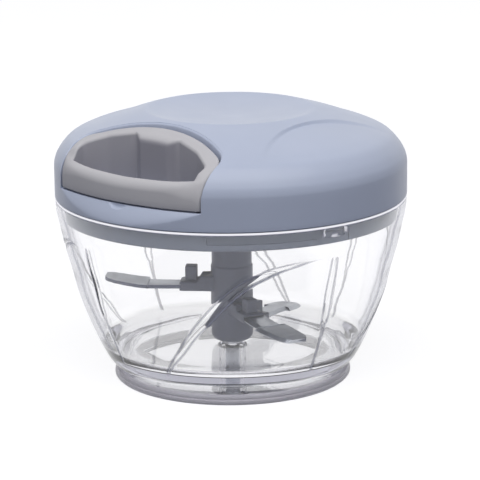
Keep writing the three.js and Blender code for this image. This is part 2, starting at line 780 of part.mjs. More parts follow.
// Knot in the handle's chamber, and the cord from it into the eyelet
const knotPlace = knotChamber.from + gap + knotRadius;
const cordMeet = linerBack + linerWall / 2;
add("cord_knot", solid(new THREE.SphereGeometry(knotRadius, 12, 8)
  .translate(0, -knotPlace, cordHeight)), cordNylon);
const straight = (from, to) => new THREE.LineCurve3(
  new THREE.Vector3(0, -from, cordHeight), new THREE.Vector3(0, -to, cordHeight));
add("pull_cord", tube(
  straight(cordMeet + gap, knotChamber.from), cordRadius, cordSides, 2), cordNylon);

// Reel with the cord's groove below and the spring's cup above
const grooveDepth = 9;
const reelCore = reelFlange - grooveDepth;
const cupInset = 3.5;
const cupBore = reelFlange - cupInset;
const cupWall = 1.4;
const axleRadius = 2;
const keyRadius = 3.4;
const keyTop = cordHeight;
add("cord_reel", turned([
  [keyRadius + gap, reelLow],
  [reelFlange, reelLow],
  [reelFlange, cordHeight - grooveHalf],
  [reelCore, cordHeight - grooveHalf],
  [reelCore, cordHeight + grooveHalf],
  [reelFlange, cordHeight + grooveHalf],
  [reelFlange, cupFloor],
  [cupBore + cupWall, cupFloor],
  [cupBore + cupWall, cupTop],
  [cupBore, cupTop],
  [cupBore, cupFloor],
  [axleRadius + gap, cupFloor],
  [axleRadius + gap, keyTop + gap],
  [keyRadius + gap, keyTop + gap],
], middleSides), gearPlastic);

// Cord wound on the reel, and its lead from the reel to the eyelet
const woundDepth = 3.1;
const woundRadius = reelCore + woundDepth;
add("wound_cord", ring(
  reelCore + gap, woundRadius, cordHeight - grooveHalf + gap, cordHeight + grooveHalf - gap, middleSides,
), cordNylon);
const leadRadius = woundRadius + gap + cordRadius;
const leadBendRoom = 1.8;
const leadBendStart = capRadius + leadBendRoom;
const leadStraightShare = 0.8;
const leadAngle = Math.acos(leadRadius / leadBendStart);
const leadStart = around(leadAngle, leadRadius, cordHeight);
const leadCurve = new THREE.CatmullRomCurve3([
  leadStart,
  leadStart.clone().lerp(new THREE.Vector3(0, -leadBendStart, cordHeight), leadStraightShare),
  new THREE.Vector3(0, -(linerBack - guideFlangeThickness), cordHeight),
  new THREE.Vector3(0, -cordMeet, cordHeight),
]);
add("lead_cord", tube(leadCurve, cordRadius, cordSides, 14), cordNylon);

// Drive spindle: key in the reel, flange, shaft in the bush and a dog in the hub's socket
const spindleFlange = 8;
const dogFit = 0.5;
const dogHalf = socketRadius - dogFit;
const dogInset = 1;
const dogLength = 8;
const dogTop = hubTop - dogInset;
const dogLow = dogTop - dogLength;
function makeSpindle() {
  const shaft = turned([
    [0, dogTop - overrun], [spindleRadius, dogTop - overrun], [spindleRadius, spindleFlangeLow],
    [spindleFlange, spindleFlangeLow], [spindleFlange, reelLow - gap], [keyRadius, reelLow - gap],
    [keyRadius, keyTop], [0, keyTop],
  ], smallSides);
  const dog = raised([
    [-dogHalf, -dogWidth / 2], [dogHalf, -dogWidth / 2], [dogHalf, dogWidth / 2], [-dogHalf, dogWidth / 2],
  ], dogLow, dogTop);
  return joined(shaft, dog);
}
add("drive_spindle", makeSpindle(), gearPlastic);

add("spindle_bush", turned([
  [bushBore, plateLow],
  [bushRadius, plateLow],
  [bushRadius, plateHigh + gap],
  [bushFlange, plateHigh + gap],
  [bushFlange, plateHigh + gap + bushFlangeThickness],
  [bushBore, plateHigh + gap + bushFlangeThickness],
], smallSides), gearPlastic);

// Mechanism cap over the reel: cup, cord window, screw ears and the spring's fixed arbor
const arborRadius = 5;
const arborLow = cupFloor + gap;
const earThickness = 2;
const earWidth = 8;
const earReach = capScrewPlace + earWidth / 2;
const windowHalf = 5;
const windowFrom = -8 * degrees;
const windowTo = 42 * degrees;
const capLow = plateHigh + gap;

function makeCap() {
  const cup = turned([
    [axleRadius + gap, arborLow],
    [arborRadius, arborLow],
    [arborRadius, capRoof],
    [capBore, capRoof],
    [capBore, capLow],
    [capRadius, capLow],
    [capRadius, capRoof + capRoofThickness],
    [axleRadius + gap, capRoof + capRoofThickness],
  ], middleSides);
  const ears = capScrewPlaces.map((p) => {
    const angle = Math.atan2(p.x, -p.y);
    return armBox(angle, capBore + capWall / 2, earReach, earWidth, capLow, capLow + earThickness);
  });
  const holes = capScrewPlaces.map((p) =>
    standing(p, capScrewRadius + holeFit, capLow - overrun, capLow + earThickness + overrun));
  const window = arcBlock(capBore - overrun, capRadius + overrun, windowFrom, windowTo,
    cordHeight - windowHalf, cordHeight + windowHalf, 6);
  return cutBy(joined(cup, ...ears), ...holes, window);
}
add("mechanism_cap", makeCap(), skirtPlastic);

add("reel_axle", ring(
  0, axleRadius, keyTop + 2 * gap, capRoof + capRoofThickness, smallSides), pinSteel);

// Recoil spring: a flat spiral strip from the arbor to the cup
const springTurns = 4.5;
const springStepsPerTurn = 16;
const springThickness = 0.5;
const springInner = arborRadius + gap + springThickness / 2;
const springOuter = cupBore - 2 * gap - springThickness / 2;
function makeSpring() {
  const steps = springTurns * springStepsPerTurn;
  const side = (offset) => Array.from({ length: steps + 1 }, (_, i) => {
    const radius = springInner + ((springOuter - springInner) * i) / steps + offset;
    const p = around((i * fullTurn) / springStepsPerTurn, radius, 0);
    return [p.x, p.y];
  });
  const outline = [...side(springThickness / 2), ...side(-springThickness / 2).reverse()];
  return raised(outline, cupFloor + gap, cupFloor + gap + springWidth);
}
add("recoil_spring", makeSpring(), springSteel);

// Screws: four join the lid base to the cover from below, three hold the cap on the base
const screw = (place, shank, headRadius, headLow, headHigh, from, to) => joined(
  standing(place, headRadius, headLow, headHigh), standing(place, shank, from, to));
coverScrewPlaces.forEach((place, k) => add(`cover_screw_${k + 1}`, screw(
  place, coverScrewRadius, coverScrewHead, plateLow - gap - coverScrewHeadThickness, plateLow - gap,
  plateLow - gap - overrun / 2, coverScrewTip,
), screwSteel));
capScrewPlaces.forEach((place, k) => add(`cap_screw_${k + 1}`, screw(
  place, capScrewRadius, capScrewHead, capLow + earThickness + gap,
  capLow + earThickness + gap + capScrewHeadThickness, capPostLow + overrun,
  capLow + earThickness + gap + overrun,
), screwSteel));

export default chopper;
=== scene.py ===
"""Pull-cord food chopper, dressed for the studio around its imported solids.

A clear bowl stands on a soft foot ring. Three blades sit on a hub that turns on a pin in the
bowl's floor. The domed lid holds a cord reel, and a pull handle docks in a pocket in its side.

Sizes are in millimetres until a mesh is made. Angles called turn are counted from the handle's
side (-Y) towards +X, and along is the distance from the axis towards the handle's side.
"""

import logging
import math
from dataclasses import dataclass, field
from enum import Enum

import bmesh
import bpy
import numpy as np
from mathutils import Matrix, Vector


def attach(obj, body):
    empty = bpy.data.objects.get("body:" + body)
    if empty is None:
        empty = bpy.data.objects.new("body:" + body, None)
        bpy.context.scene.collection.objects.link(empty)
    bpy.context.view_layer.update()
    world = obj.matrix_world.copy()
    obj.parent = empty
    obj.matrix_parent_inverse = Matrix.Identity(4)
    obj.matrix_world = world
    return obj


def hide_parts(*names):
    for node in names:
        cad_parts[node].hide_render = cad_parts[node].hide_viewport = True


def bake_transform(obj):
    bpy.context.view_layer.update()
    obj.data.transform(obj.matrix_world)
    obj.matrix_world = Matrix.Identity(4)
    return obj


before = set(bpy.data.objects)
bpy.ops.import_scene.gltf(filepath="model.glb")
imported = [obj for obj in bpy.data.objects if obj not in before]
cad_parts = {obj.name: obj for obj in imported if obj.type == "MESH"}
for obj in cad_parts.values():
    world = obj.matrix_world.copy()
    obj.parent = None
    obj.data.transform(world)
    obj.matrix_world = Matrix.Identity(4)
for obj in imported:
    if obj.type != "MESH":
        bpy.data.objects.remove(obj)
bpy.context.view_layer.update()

LOG = logging.getLogger("chopper")
MM = 0.001
TAU = 2 * math.pi
Array = np.ndarray
Piece = bpy.types.Object
Material = bpy.types.Material
Tree = bpy.types.NodeTree
Socket = bpy.types.NodeSocket
Corners = tuple[tuple[float, float, float], ...]

# Points of a mesh nearer than this become one
MERGE = 0.002
# The cord's middle line and its thickness
CORD_HEIGHT = 77.0
CORD_RADIUS = 0.9
# The bowl's lugs and the lid's tracks for them: turns in degrees, and the radius of their middle
LUG_TURNS = (75.0, 195.0, 315.0)
LUG_RADIUS = 60.1


class Cut(Enum):
    """How one closed mesh changes another."""

    TAKE = "DIFFERENCE"
    JOIN = "UNION"


class Body(Enum):
    """The moving bodies of the chopper."""

    BOWL = "bowl"
    BLADES = "blade_unit"
    SEAL = "seal"
    LID = "lid"
    REEL = "reel"
    HANDLE = "handle"


# Meshes


@dataclass
class Surface:
    """A mesh in the making: points in mm, four-sided faces and each face corner's place in UV."""

    points: Array
    faces: Array
    uv: Array

    def joined(self, *others: "Surface") -> "Surface":
        """Puts several surfaces into one, with each keeping its own points.

        Args:
            others: The surfaces that are added.

        Returns:
            One surface that holds all of them.
        """
        parts = [self, *others]
        starts = np.cumsum([0] + [len(p.points) for p in parts[:-1]])
        return Surface(
            np.concatenate([p.points for p in parts]),
            np.concatenate([p.faces + s for p, s in zip(parts, starts)]),
            np.concatenate([p.uv for p in parts]),
        )

    def on(self, points: Array) -> "Surface":
        """The same faces on other points."""
        return Surface(points, self.faces, self.uv)

    def moved(self, x: float, y: float, z: float) -> "Surface":
        """The surface, moved in mm."""
        return self.on(self.points + [x, y, z])

    def turned(self, turn: float) -> "Surface":
        """The surface, turned about the upright axis by an angle in radians from +X towards +Y."""
        c, s = math.cos(turn), math.sin(turn)
        return self.on(self.points @ np.array([[c, s, 0], [-s, c, 0], [0, 0, 1]]))

    def laid(self, height: float) -> "Surface":
        """The surface, laid along the pull direction: its up becomes -Y, with its axis at a height."""
        x, y, z = self.points.T
        return self.on(np.stack([x, -z, height + y], axis=1))

    def outward(self) -> "Surface":
        """Turns the faces outwards: the volume under all faces, summed with its sign, is above zero.

        Returns:
            The surface with its faces pointing out.
        """
        middle = self.points.mean(axis=0)
        a, b, c, d = (self.points[self.faces[:, k]] - middle for k in range(4))
        volume = np.einsum("ij,ij->", a, np.cross(b, c)) + np.einsum("ij,ij->", a, np.cross(c, d))
        return self if volume >= 0 else Surface(self.points, self.faces[:, ::-1], self.uv[:, ::-1])

    def piece(self, name: str, sharp: float = 40.0) -> Piece:
        """Makes a Blender object of the surface, with its seams and poles merged.

        Args:
            name: The piece's name.
            sharp: The angle in degrees past which an edge shows as an edge.

        Returns:
            The new object, at the origin.
        """
        mesh = bpy.data.meshes.new(name)
        count = len(self.faces)
        mesh.vertices.add(len(self.points))
        mesh.vertices.foreach_set("co", (self.points * MM).astype(np.float32).ravel())
        mesh.loops.add(4 * count)
        mesh.loops.foreach_set("vertex_index", self.faces.astype(np.int32).ravel())
        mesh.polygons.add(count)
        mesh.polygons.foreach_set("loop_start", np.arange(0, 4 * count, 4, dtype=np.int32))
        layer = mesh.uv_layers.new(name="UVMap")
        mesh.update(calc_edges=True)
        layer.data.foreach_set("uv", self.uv.astype(np.float32).ravel())
        work = bmesh.new()
        work.from_mesh(mesh)
        bmesh.ops.remove_doubles(work, verts=work.verts, dist=MERGE * MM)
        work.to_mesh(mesh)
        work.free()
        obj = bpy.data.objects.new(name, mesh)
        bpy.context.scene.collection.objects.link(obj)
        shade(obj, sharp)
        return obj


def shade(obj: Piece, sharp: float) -> None:
    """Shades a piece smooth, with edges past an angle in degrees left sharp."""
    obj.data.shade_smooth()
    obj.data.set_sharp_from_angle(angle=math.radians(sharp))


def change(target: Piece, how: Cut, *tools: Piece) -> None:
    """Cuts or joins closed meshes into a piece, and removes the tools.

    Args:
        target: The piece that is changed.
        how: Whether the tools are taken away or joined.
        tools: The meshes that change it.
    """
    for tool in tools:
        modifier = target.modifiers.new("change", "BOOLEAN")
        modifier.operation = how.value
        modifier.solver = "MANIFOLD"
        modifier.object = tool
        graph = bpy.context.evaluated_depsgraph_get()
        mesh = bpy.data.meshes.new_from_object(target.evaluated_get(graph))
        target.modifiers.clear()
        target.data = mesh
        bpy.data.objects.remove(tool)


def places_of(obj: Piece) -> Array:
    """The points of a piece as three rows, x, y and z, in mm."""
    co = np.zeros(len(obj.data.vertices) * 3, np.float32)
    obj.data.vertices.foreach_get("co", co)
    return (co.reshape(-1, 3).astype(float) / MM).T


def mark(obj: Piece, name: str, share: Array) -> None:
    """Writes a number on each point of a piece, as an attribute that its finish reads."""
    layer = obj.data.attributes.new(name, "FLOAT", "POINT")
    layer.data.foreach_set("value", share.astype(np.float32))


def unit(vectors: Array) -> Array:
    """Each row as a vector of length 1."""
    return vectors / np.linalg.norm(vectors, axis=1)[:, None]


def square_to(line: Array) -> Array:
    """Directions of length 1 square to a closed line in plan, on its right."""
    along = np.roll(line, -1, 0) - np.roll(line, 1, 0)
    return unit(np.stack([along[:, 1], -along[:, 0]], axis=1))


def smooth(share: Array) -> Array:
    """Goes from 0 to 1 with a level start and end: 3t^2 - 2t^3."""
    t = np.clip(share, 0, 1)
    return t * t * (3 - 2 * t)


def around(turn: Array, radius: Array, height: Array) -> Array:
    """Places at turns in radians, radii and heights: x = r sin(turn), y = -r cos(turn)."""
    turn, radius, height = np.broadcast_arrays(turn, radius, height)
    return np.stack([radius * np.sin(turn), -radius * np.cos(turn), height], axis=-1)


def bend(start: Array, corner: Array, end: Array, steps: int) -> Array:
    """The curve (1-s)^2 a + 2s(1-s) c + s^2 b from a start to an end, drawn towards a corner."""
    a, c, b = (np.asarray(place) for place in (start, corner, end))
    s = np.linspace(0, 1, steps)[:, None]
    return (1 - s) ** 2 * a + 2 * s * (1 - s) * c + s**2 * b


def oblong(left: float, right: float, near: float, far: float) -> Array:
    """The four corners of an oblong in plan, between two x and two y."""
    return np.array([(left, near), (right, near), (right, far), (left, far)], float)


def rounded(corners: Corners, closed: bool = True, steps: int = 6) -> Array:
    """A line through corners, each eased by a curve that leaves and meets its two sides.

    The curve is (1-s)^2 a + 2s(1-s) c + s^2 b, from a on one side to b on the other, where c is the
    corner and a and b lie radius / tan(half the corner's angle) from it.

    Args:
        corners: Places (x, y) with the radius that eases each.
        closed: Whether the last corner meets the first.
        steps: Points on each curve.

    Returns:
        The points, by two, without repeats.
    """
    table = np.array(corners, float)
    place, radius = table[:, :2], table[:, 2].copy()
    if not closed:
        radius[[0, -1]] = 0
    back, ahead = np.roll(place, 1, 0) - place, np.roll(place, -1, 0) - place
    if not closed:
        back[0], ahead[-1] = -ahead[0], -back[-1]
    reach_back, reach_ahead = np.linalg.norm(back, axis=1), np.linalg.norm(ahead, axis=1)
    back, ahead = back / reach_back[:, None], ahead / reach_ahead[:, None]
    half = np.arccos(np.clip(np.sum(back * ahead, axis=1), -1, 1)) / 2
    leave = radius / np.maximum(np.tan(half), 1e-6)
    leave = np.minimum(leave, 0.49 * np.minimum(reach_back, reach_ahead))[:, None, None]
    s = np.linspace(0, 1, steps)[None, :, None]
    a = place[:, None] + back[:, None] * leave
    b = place[:, None] + ahead[:, None] * leave
    line = ((1 - s) ** 2 * a + 2 * s * (1 - s) * place[:, None] + s**2 * b).reshape(-1, 2)
    keep = np.linalg.norm(line - np.roll(line, 1, 0), axis=1) > 1e-4
    keep[0] = not closed or keep[0]
    return line[keep]


def spread(line: Array, spacing: float, closed: bool = False) -> Array:
    """Adds points to a line so that no step is longer than a spacing, and keeps its own points.

    Args:
        line: The points, by two.
        spacing: The longest step in mm.
        closed: Whether the last point meets the first.

    Returns:
        The denser line.
    """
    ends = np.roll(line, -1, 0) if closed else line[1:]
    starts = line if closed else line[:-1]
    counts = np.maximum(1, np.ceil(np.linalg.norm(ends - starts, axis=1) / spacing)).astype(int)
    index = np.repeat(np.arange(len(starts)), counts)
    offset = np.arange(counts.sum()) - np.repeat(np.cumsum(counts) - counts, counts)
    share = (offset / counts[index])[:, None]
    dense = starts[index] * (1 - share) + ends[index] * share
    return dense if closed else np.vstack([dense, line[-1]])


def eased(table: Array, count: int) -> Array:
    """A smooth curve through the points of a table.

    Between two points it is the cubic that leaves each along the line between its neighbours.

    Args:
        table: The points, by two.
        count: Points between two of the table's.

    Returns:
        The curve's points, by two.
    """
    table = np.asarray(table, float)
    lengths = np.linalg.norm(np.diff(table, axis=0), axis=1)
    slope = np.gradient(table, np.concatenate([[0], np.cumsum(lengths)]), axis=0)
    s = np.linspace(0, 1, count, endpoint=False)[None, :, None]
    h = lengths[:, None, None]
    a, b = table[:-1, None], table[1:, None]
    ma, mb = slope[:-1, None] * h, slope[1:, None] * h
    curve = (
        (2 * s**3 - 3 * s**2 + 1) * a + (s**3 - 2 * s**2 + s) * ma
        + (3 * s**2 - 2 * s**3) * b + (s**3 - s**2) * mb
    )
    return np.vstack([curve.reshape(-1, 2), table[-1]])


def grid(points: Array, wrap_rows: bool = False, wrap_cols: bool = False) -> Surface:
    """Joins a table of points into four-sided faces.

    A face lies between rows i and i + 1 and columns j and j + 1, and UV is (j, i) over the counts.

    Args:
        points: Rows by columns by three.
        wrap_rows: Whether the last row meets the first.
        wrap_cols: Whether the last column meets the first.

    Returns:
        The surface.
    """
    rows, cols = points.shape[:2]
    i, j = np.meshgrid(
        np.arange(rows if wrap_rows else rows - 1),
        np.arange(cols if wrap_cols else cols - 1),
        indexing="ij",
    )
    i, j = i.ravel(), j.ravel()
    corners = [(i, j), (i, j + 1), (i + 1, j + 1), (i + 1, j)]
    faces = np.stack([(a % rows) * cols + (b % cols) for a, b in corners], axis=1)
    uv = np.stack([np.stack([b / cols, a / rows], axis=1) for a, b in corners], axis=1)
    return Surface(points.reshape(-1, 3), faces, uv)


def capped(rings: Array, *centres: Array) -> Surface:
    """Joins rings of points into a closed form, with a fan of faces at each end.

    Args:
        rings: Rings by points by three.
        centres: The middles of the two fans, or none for those of the end rings.

    Returns:
        The closed surface.
    """
    centres = centres or (rings[0].mean(axis=0), rings[-1].mean(axis=0))
    first, last = (np.broadcast_to(c, (1, rings.shape[1], 3)) for c in centres)
    return grid(np.concatenate([first, rings, last]), wrap_cols=True).outward()


def revolved(profile: Array, steps: int) -> Surface:
    """Carries a closed profile round the upright axis.

    Args:
        profile: The profile's points (radius, height).
        steps: Steps round the axis.

    Returns:
        The closed surface.
    """
    turn = np.linspace(0, TAU, steps, endpoint=False)
    points = around(turn[None], profile[:, :1], profile[:, 1:])
    return grid(points, wrap_rows=True, wrap_cols=True).outward()


def swept(path: Array, radius: float, upright: tuple = (0, 0, 1.0), closed: bool = False) -> Surface:
    """A round tube along a path, with flat ends or closed on itself.

    A ring lies square to the path at each point: p + r (cos(a) n + sin(a) b), where n and b are square
    to the path and b stays near the upright.

    Args:
        path: The points, by three.
        radius: The tube's radius in mm.
        upright: A direction that the path never takes.
        closed: Whether the last point meets the first.

    Returns:
        The closed surface.
    """
    along = unit(np.roll(path, -1, 0) - np.roll(path, 1, 0) if closed else np.gradient(path, axis=0))
    side = unit(np.cross(along, upright))
    up = np.cross(side, along)
    a = np.linspace(0, TAU, 16, endpoint=False)[None, :, None]
    rings = path[:, None] + radius * (np.cos(a) * side[:, None] + np.sin(a) * up[:, None])
    return grid(rings, wrap_rows=True, wrap_cols=True) if closed else capped(rings, path[0], path[-1])


def block(
    outline: Array, low: float, high: float, ease: float = 0.0, top: Array | None = None,
) -> Surface:
    """Raises a closed plan outline to a height, with its top edge eased.

    The rings run in under the block, up its side, over the eased edge and in to the middle. The edge
    is a quarter circle: in by e(1 - cos a) and up to high - e(1 - sin a).

    Args:
        outline: The plan's points, by two, round its middle.
        low: The bottom's height.
        high: The top's height.
        ease: The edge's radius.
        top: Heights to use in place of high, one for each point of the outline.

    Returns:
        The closed surface.
    """
    middle = outline.mean(axis=0)
    height = np.full(len(outline), high) if top is None else top
    a = np.linspace(0, math.pi / 2, 5)
    inset = np.concatenate([[ease, 0], ease * (1 - np.cos(a)), [2 * ease]])
    drop = np.concatenate([ease * (1 - np.sin(a)), [0]])
    rings = outline[None] - unit(outline - middle)[None] * inset[:, None, None]
    levels = np.vstack([np.full((2, len(outline)), low), height[None] - drop[:, None]])
    body = np.concatenate([rings, levels[..., None]], axis=-1)
    return capped(body, np.append(middle, low), np.append(middle, height.mean()))


def arc_block(inner: float, outer: float, start: float, end: float, low: float, high: float) -> Surface:
    """A block of a ring between two turns, with flat ends.

    Args:
        inner: The inner radius.
        outer: The outer radius.
        start: The first turn in radians.
        end: The last turn.
        low: The bottom's height.
        high: The top's height.

    Returns:
        The closed surface.
    """
    steps = max(4, int(abs(end - start) * outer / 1.2))
    turn = np.linspace(start, end, steps)[:, None]
    radius, height = oblong(inner, outer, low, high).T
    return capped(around(turn, radius[None], height[None]))


def upright_rod(place: Array, radius: float, low: float, high: float, sides: int = 32) -> Surface:
    """A round rod that stands at a place in plan, between two heights."""
    body = revolved(np.array([(0, low), (radius, low), (radius, high), (0, high)], float), sides)
    return body.moved(place[0], place[1], 0)


@dataclass(frozen=True)
class Turned:
    """A piece as from a lathe. Its profile's corners are (radius, height, ease).

    An open profile starts and ends on the axis. Steps are the points on each eased corner, and
    spacing is the longest step between them, if any.
    """

    name: str
    corners: Corners
    sides: int
    closed: bool = True
    steps: int = 6
    spacing: float = 0.0
    sharp: float = 40.0

    def surface(self) -> Surface:
        """Carries the eased profile round the axis."""
        line = rounded(self.corners, self.closed, self.steps)
        return revolved(spread(line, self.spacing, True) if self.spacing else line, self.sides)

    def piece(self) -> Piece:
        """Makes the piece."""
        return self.surface().piece(self.name, self.sharp)


# Finishes

# The range in which nearly all values of a noise lie
NOISE = {"From_Min": 0.3, "From_Max": 0.7}
RGBA = {"data_type": "RGBA"}
MULTIPLY = {"operation": "MULTIPLY"}


def colour(code: str) -> tuple[float, float, float, float]:
    """Turns an sRGB hex value into the linear colour that a shader takes.

    Args:
        code: The value as "#rrggbb".

    Returns:
        Red, green, blue and alpha.
    """
    parts = [int(code[k:k + 2], 16) / 255 for k in (1, 3, 5)]
    line = [c / 12.92 if c <= 0.04045 else ((c + 0.055) / 1.055) ** 2.4 for c in parts]
    return (*line, 1.0)


def per_mm(size: float) -> float:
    """The scale at which a pattern on metres has features of a size in mm."""
    return 1 / (size * MM)


def add(
    tree: Tree, kind: str, settings: dict | None = None, out: int | str = 0, **inputs: object,
) -> Socket | None:
    """Adds a shader node, sets it and links it.

    Args:
        tree: The node tree.
        kind: The node's type, less its prefix.
        settings: Properties of the node itself.
        out: The output that is wanted, by name or number.
        inputs: Values or output sockets for its inputs, by name with _ for a space, or by _number.

    Returns:
        The output's socket, or None from a node that has none.
    """
    node = tree.nodes.new("ShaderNode" + kind)
    for key, value in (settings or {}).items():
        setattr(node, key, value)
    for key, value in inputs.items():
        socket = node.inputs[int(key[1:])] if key[1:].isdigit() else node.inputs[key.replace("_", " ")]
        if isinstance(value, bpy.types.NodeSocket):
            tree.links.new(value, socket)
        else:
            socket.default_value = value
    return node.outputs[out] if len(node.outputs) else None


def blank(name: str) -> tuple[Material, Tree]:
    """A new material with an empty node tree.

    Args:
        name: The material's name.

    Returns:
        The material and its tree.
    """
    material = bpy.data.materials.new(name)
    material.use_nodes = True
    material.node_tree.nodes.clear()
    return material, material.node_tree


def ready(material: Material, **ends: Socket) -> Material:
    """Links a surface, and a volume if it has one, to the material's output."""
    add(material.node_tree, "OutputMaterial", **ends)
    return material


def tinted(tree: Tree, code: str, mottle: float, size: float) -> Socket:
    """A colour that wanders a little, as moulded plastic does where it cooled unevenly.

    Args:
        tree: The node tree.
        code: The colour.
        mottle: How far the brightness wanders.
        size: The size of the patches in mm.

    Returns:
        The colour's socket.
    """
    place = add(tree, "TexCoord", out="Object")
    noise = add(tree, "TexNoise", Vector=place, Scale=per_mm(size), Detail=3.0)
    level = add(tree, "MapRange", **NOISE, Value=noise, To_Min=1 - mottle, To_Max=1 + mottle)
    return add(tree, "HueSaturation", Value=level, Color=colour(code))


@dataclass(frozen=True)
class MouldedPlastic:
    """Injection-moulded ABS or nylon: an even colour with the fine grain of a spark-eroded mould.

    Grain, patch and shade are sizes in mm, and the grain is drawn coarser than real, to show. Where an
    inner colour is given, it is a darker colour painted as shade, and the attribute inside says how far it
    shows.
    """

    name: str
    code: str
    roughness: float
    shine: float = 0.45
    # A darker colour painted as shade down a hole, where the attribute inside is 1
    inner: str = ""
    grain: float = 0.35
    depth: float = 0.02
    patch: float = 14.0
    shade: float = 22.0
    mottle: float = 0.02

    def build(self) -> Material:
        """Makes the material: grain in the bump and patches of slightly duller skin.

        Returns:
            The material.
        """
        material, tree = blank(self.name)
        place = add(tree, "TexCoord", out="Object")
        grain = add(tree, "TexNoise", Vector=place, Scale=per_mm(self.grain), Detail=2.0)
        bump = add(tree, "Bump", Height=grain, Strength=0.35, Distance=self.depth * MM)
        patches = add(tree, "TexNoise", Vector=place, Scale=per_mm(self.patch), Detail=3.0)
        low, high = self.roughness - 0.04, self.roughness + 0.05
        rough = add(tree, "MapRange", **NOISE, Value=patches, To_Min=low, To_Max=high)
        skin = tinted(tree, self.code, self.mottle, self.shade)
        # Painted shade: the inner colour darkens the skin down the finger hole
        if self.inner:
            inside = add(tree, "Attribute", {"attribute_name": "inside"}, "Fac")
            skin = add(tree, "Mix", RGBA, 2, _0=inside, _6=skin, _7=colour(self.inner))
        return ready(material, Surface=add(
            tree, "BsdfPrincipled", Base_Color=skin, Roughness=rough, Normal=bump, IOR=1.5,
            Specular_IOR_Level=self.shine,
        ))


@dataclass(frozen=True)
class ClearPlastic:
    """Clear plastic or rubber, polished by its mould: bright faces, edges grey with tint and painted
    shade.

    The attribute edge is 0 on a plain face, 1 along a flute, where grey lines of shade are painted,
    and 2 on an edge that shines white. The attribute wall is 1 where the slanting parts of a thick
    wall take painted bands of grey shade.
    """

    name: str
    code: str
    # The volume's tint, and the grey painted as shade on slanting faces
    edge: str
    roughness: float
    index: float = 1.5
    tint: float = 0.0
    # The grey of the milky layer, which also paints the shade lines and bands
    line: str = "#a9abc2"
    milk: float = 0.0
    flow: float = 18.0
    # Painted shade: how grey a wall is by how far it slants from the eye: (slant, share of grey)
    bands: tuple = ((0.0, 0.0), (0.7, 0.0), (0.745, 0.5), (0.785, 0.16), (1.0, 0.22))

    def glass(self, tree: Tree) -> Socket:
        """The clear part: slight waves where the plastic flowed, and painted grey shade on slanting faces.

        Args:
            tree: The node tree.

        Returns:
            The shader's socket.
        """
        place = add(tree, "TexCoord", out="Object")
        flow = add(tree, "TexNoise", Vector=place, Scale=per_mm(self.flow), Detail=1.0)
        bump = add(tree, "Bump", Height=flow, Strength=0.08, Distance=0.25 * MM)
        slant = add(tree, "LayerWeight", out="Facing", Blend=0.35)
        side = add(
            tree, "MapRange", {"interpolation_type": "SMOOTHSTEP"}, Value=slant, From_Min=0.4,
            From_Max=0.85,
        )
        # Painted shade: the colour greys towards the edge colour on faces that slant from the eye
        base = add(tree, "Mix", RGBA, 2, _0=side, _6=colour(self.code), _7=colour(self.edge))
        return add(
            tree, "BsdfPrincipled", Base_Color=base, Normal=bump, Roughness=self.roughness,
            IOR=self.index, Transmission_Weight=1.0,
        )

    def build(self) -> Material:
        """Makes the glass, with painted grey shade by edge and wall, white where it shines, open to the
        lamps.

        Returns:
            The material.
        """
        material, tree = blank(self.name)
        edge, wall = (
            add(tree, "Attribute", {"attribute_name": name}, "Fac") for name in ("edge", "wall")
        )
        ramp = add(tree, "ValToRGB", Fac=add(tree, "LayerWeight", out="Facing", Blend=0.5))
        stops = ramp.node.color_ramp.elements
        for place, _ in self.bands[1:-1]:
            stops.new(place)
        for stop, (place, value) in zip(stops, self.bands):
            stop.position, stop.color = place, (value, value, value, 1.0)
        # The grey layer: the rubber's own milkiness, and painted shade in lines along flutes and in wall
        # bands
        milk_and_painted_shade = add(tree, "BsdfPrincipled", Base_Color=colour(self.line), Roughness=0.3)
        milky = add(
            tree, "MapRange", Value=edge, From_Min=0.15, From_Max=0.9, To_Min=self.milk,
            To_Max=max(0.6, self.milk),
        )
        # Each share with the layer that it lays over those before it
        layers = (
            # Painted shade lines along the flutes, over the rubber's own even milkiness
            (milky, milk_and_painted_shade),
            # Painted shade in bands where a thick wall slants from the eye
            (add(tree, "Math", MULTIPLY, _0=ramp, _1=wall), milk_and_painted_shade),
            (
                add(tree, "MapRange", Value=edge, From_Min=1.1, From_Max=1.8, To_Max=0.95),
                add(tree, "BsdfGlossy", Color=colour("#f6f6fb"), Roughness=0.3),
            ),
            (
                add(tree, "LightPath", out="Is Shadow Ray"),
                add(tree, "BsdfTransparent", Color=colour("#f4f4f8")),
            ),
        )
        surface = self.glass(tree)
        for share, layer in layers:
            surface = add(tree, "MixShader", _0=share, _1=surface, _2=layer)
        if not self.tint:
            return ready(material, Surface=surface)
        depth = add(tree, "VolumeAbsorption", Color=colour(self.edge), Density=self.tint)
        return ready(material, Surface=surface, Volume=depth)


@dataclass(frozen=True)
class SoftRubber:
    """Silicone: milky, with a fine dull grain, and a little see-through at thin edges."""

    name: str
    code: str
    roughness: float
    clear: float
    grain: float = 0.8
    shade: float = 12.0

    def build(self) -> Material:
        """Makes the material.

        Returns:
            The material.
        """
        material, tree = blank(self.name)
        place = add(tree, "TexCoord", out="Object")
        grain = add(tree, "TexNoise", Vector=place, Scale=per_mm(self.grain), Detail=2.0)
        return ready(material, Surface=add(
            tree, "BsdfPrincipled", Base_Color=tinted(tree, self.code, 0.02, self.shade),
            Roughness=self.roughness, IOR=1.43, Transmission_Weight=self.clear,
            Normal=add(tree, "Bump", Height=grain, Strength=0.2, Distance=0.03 * MM),
        ))


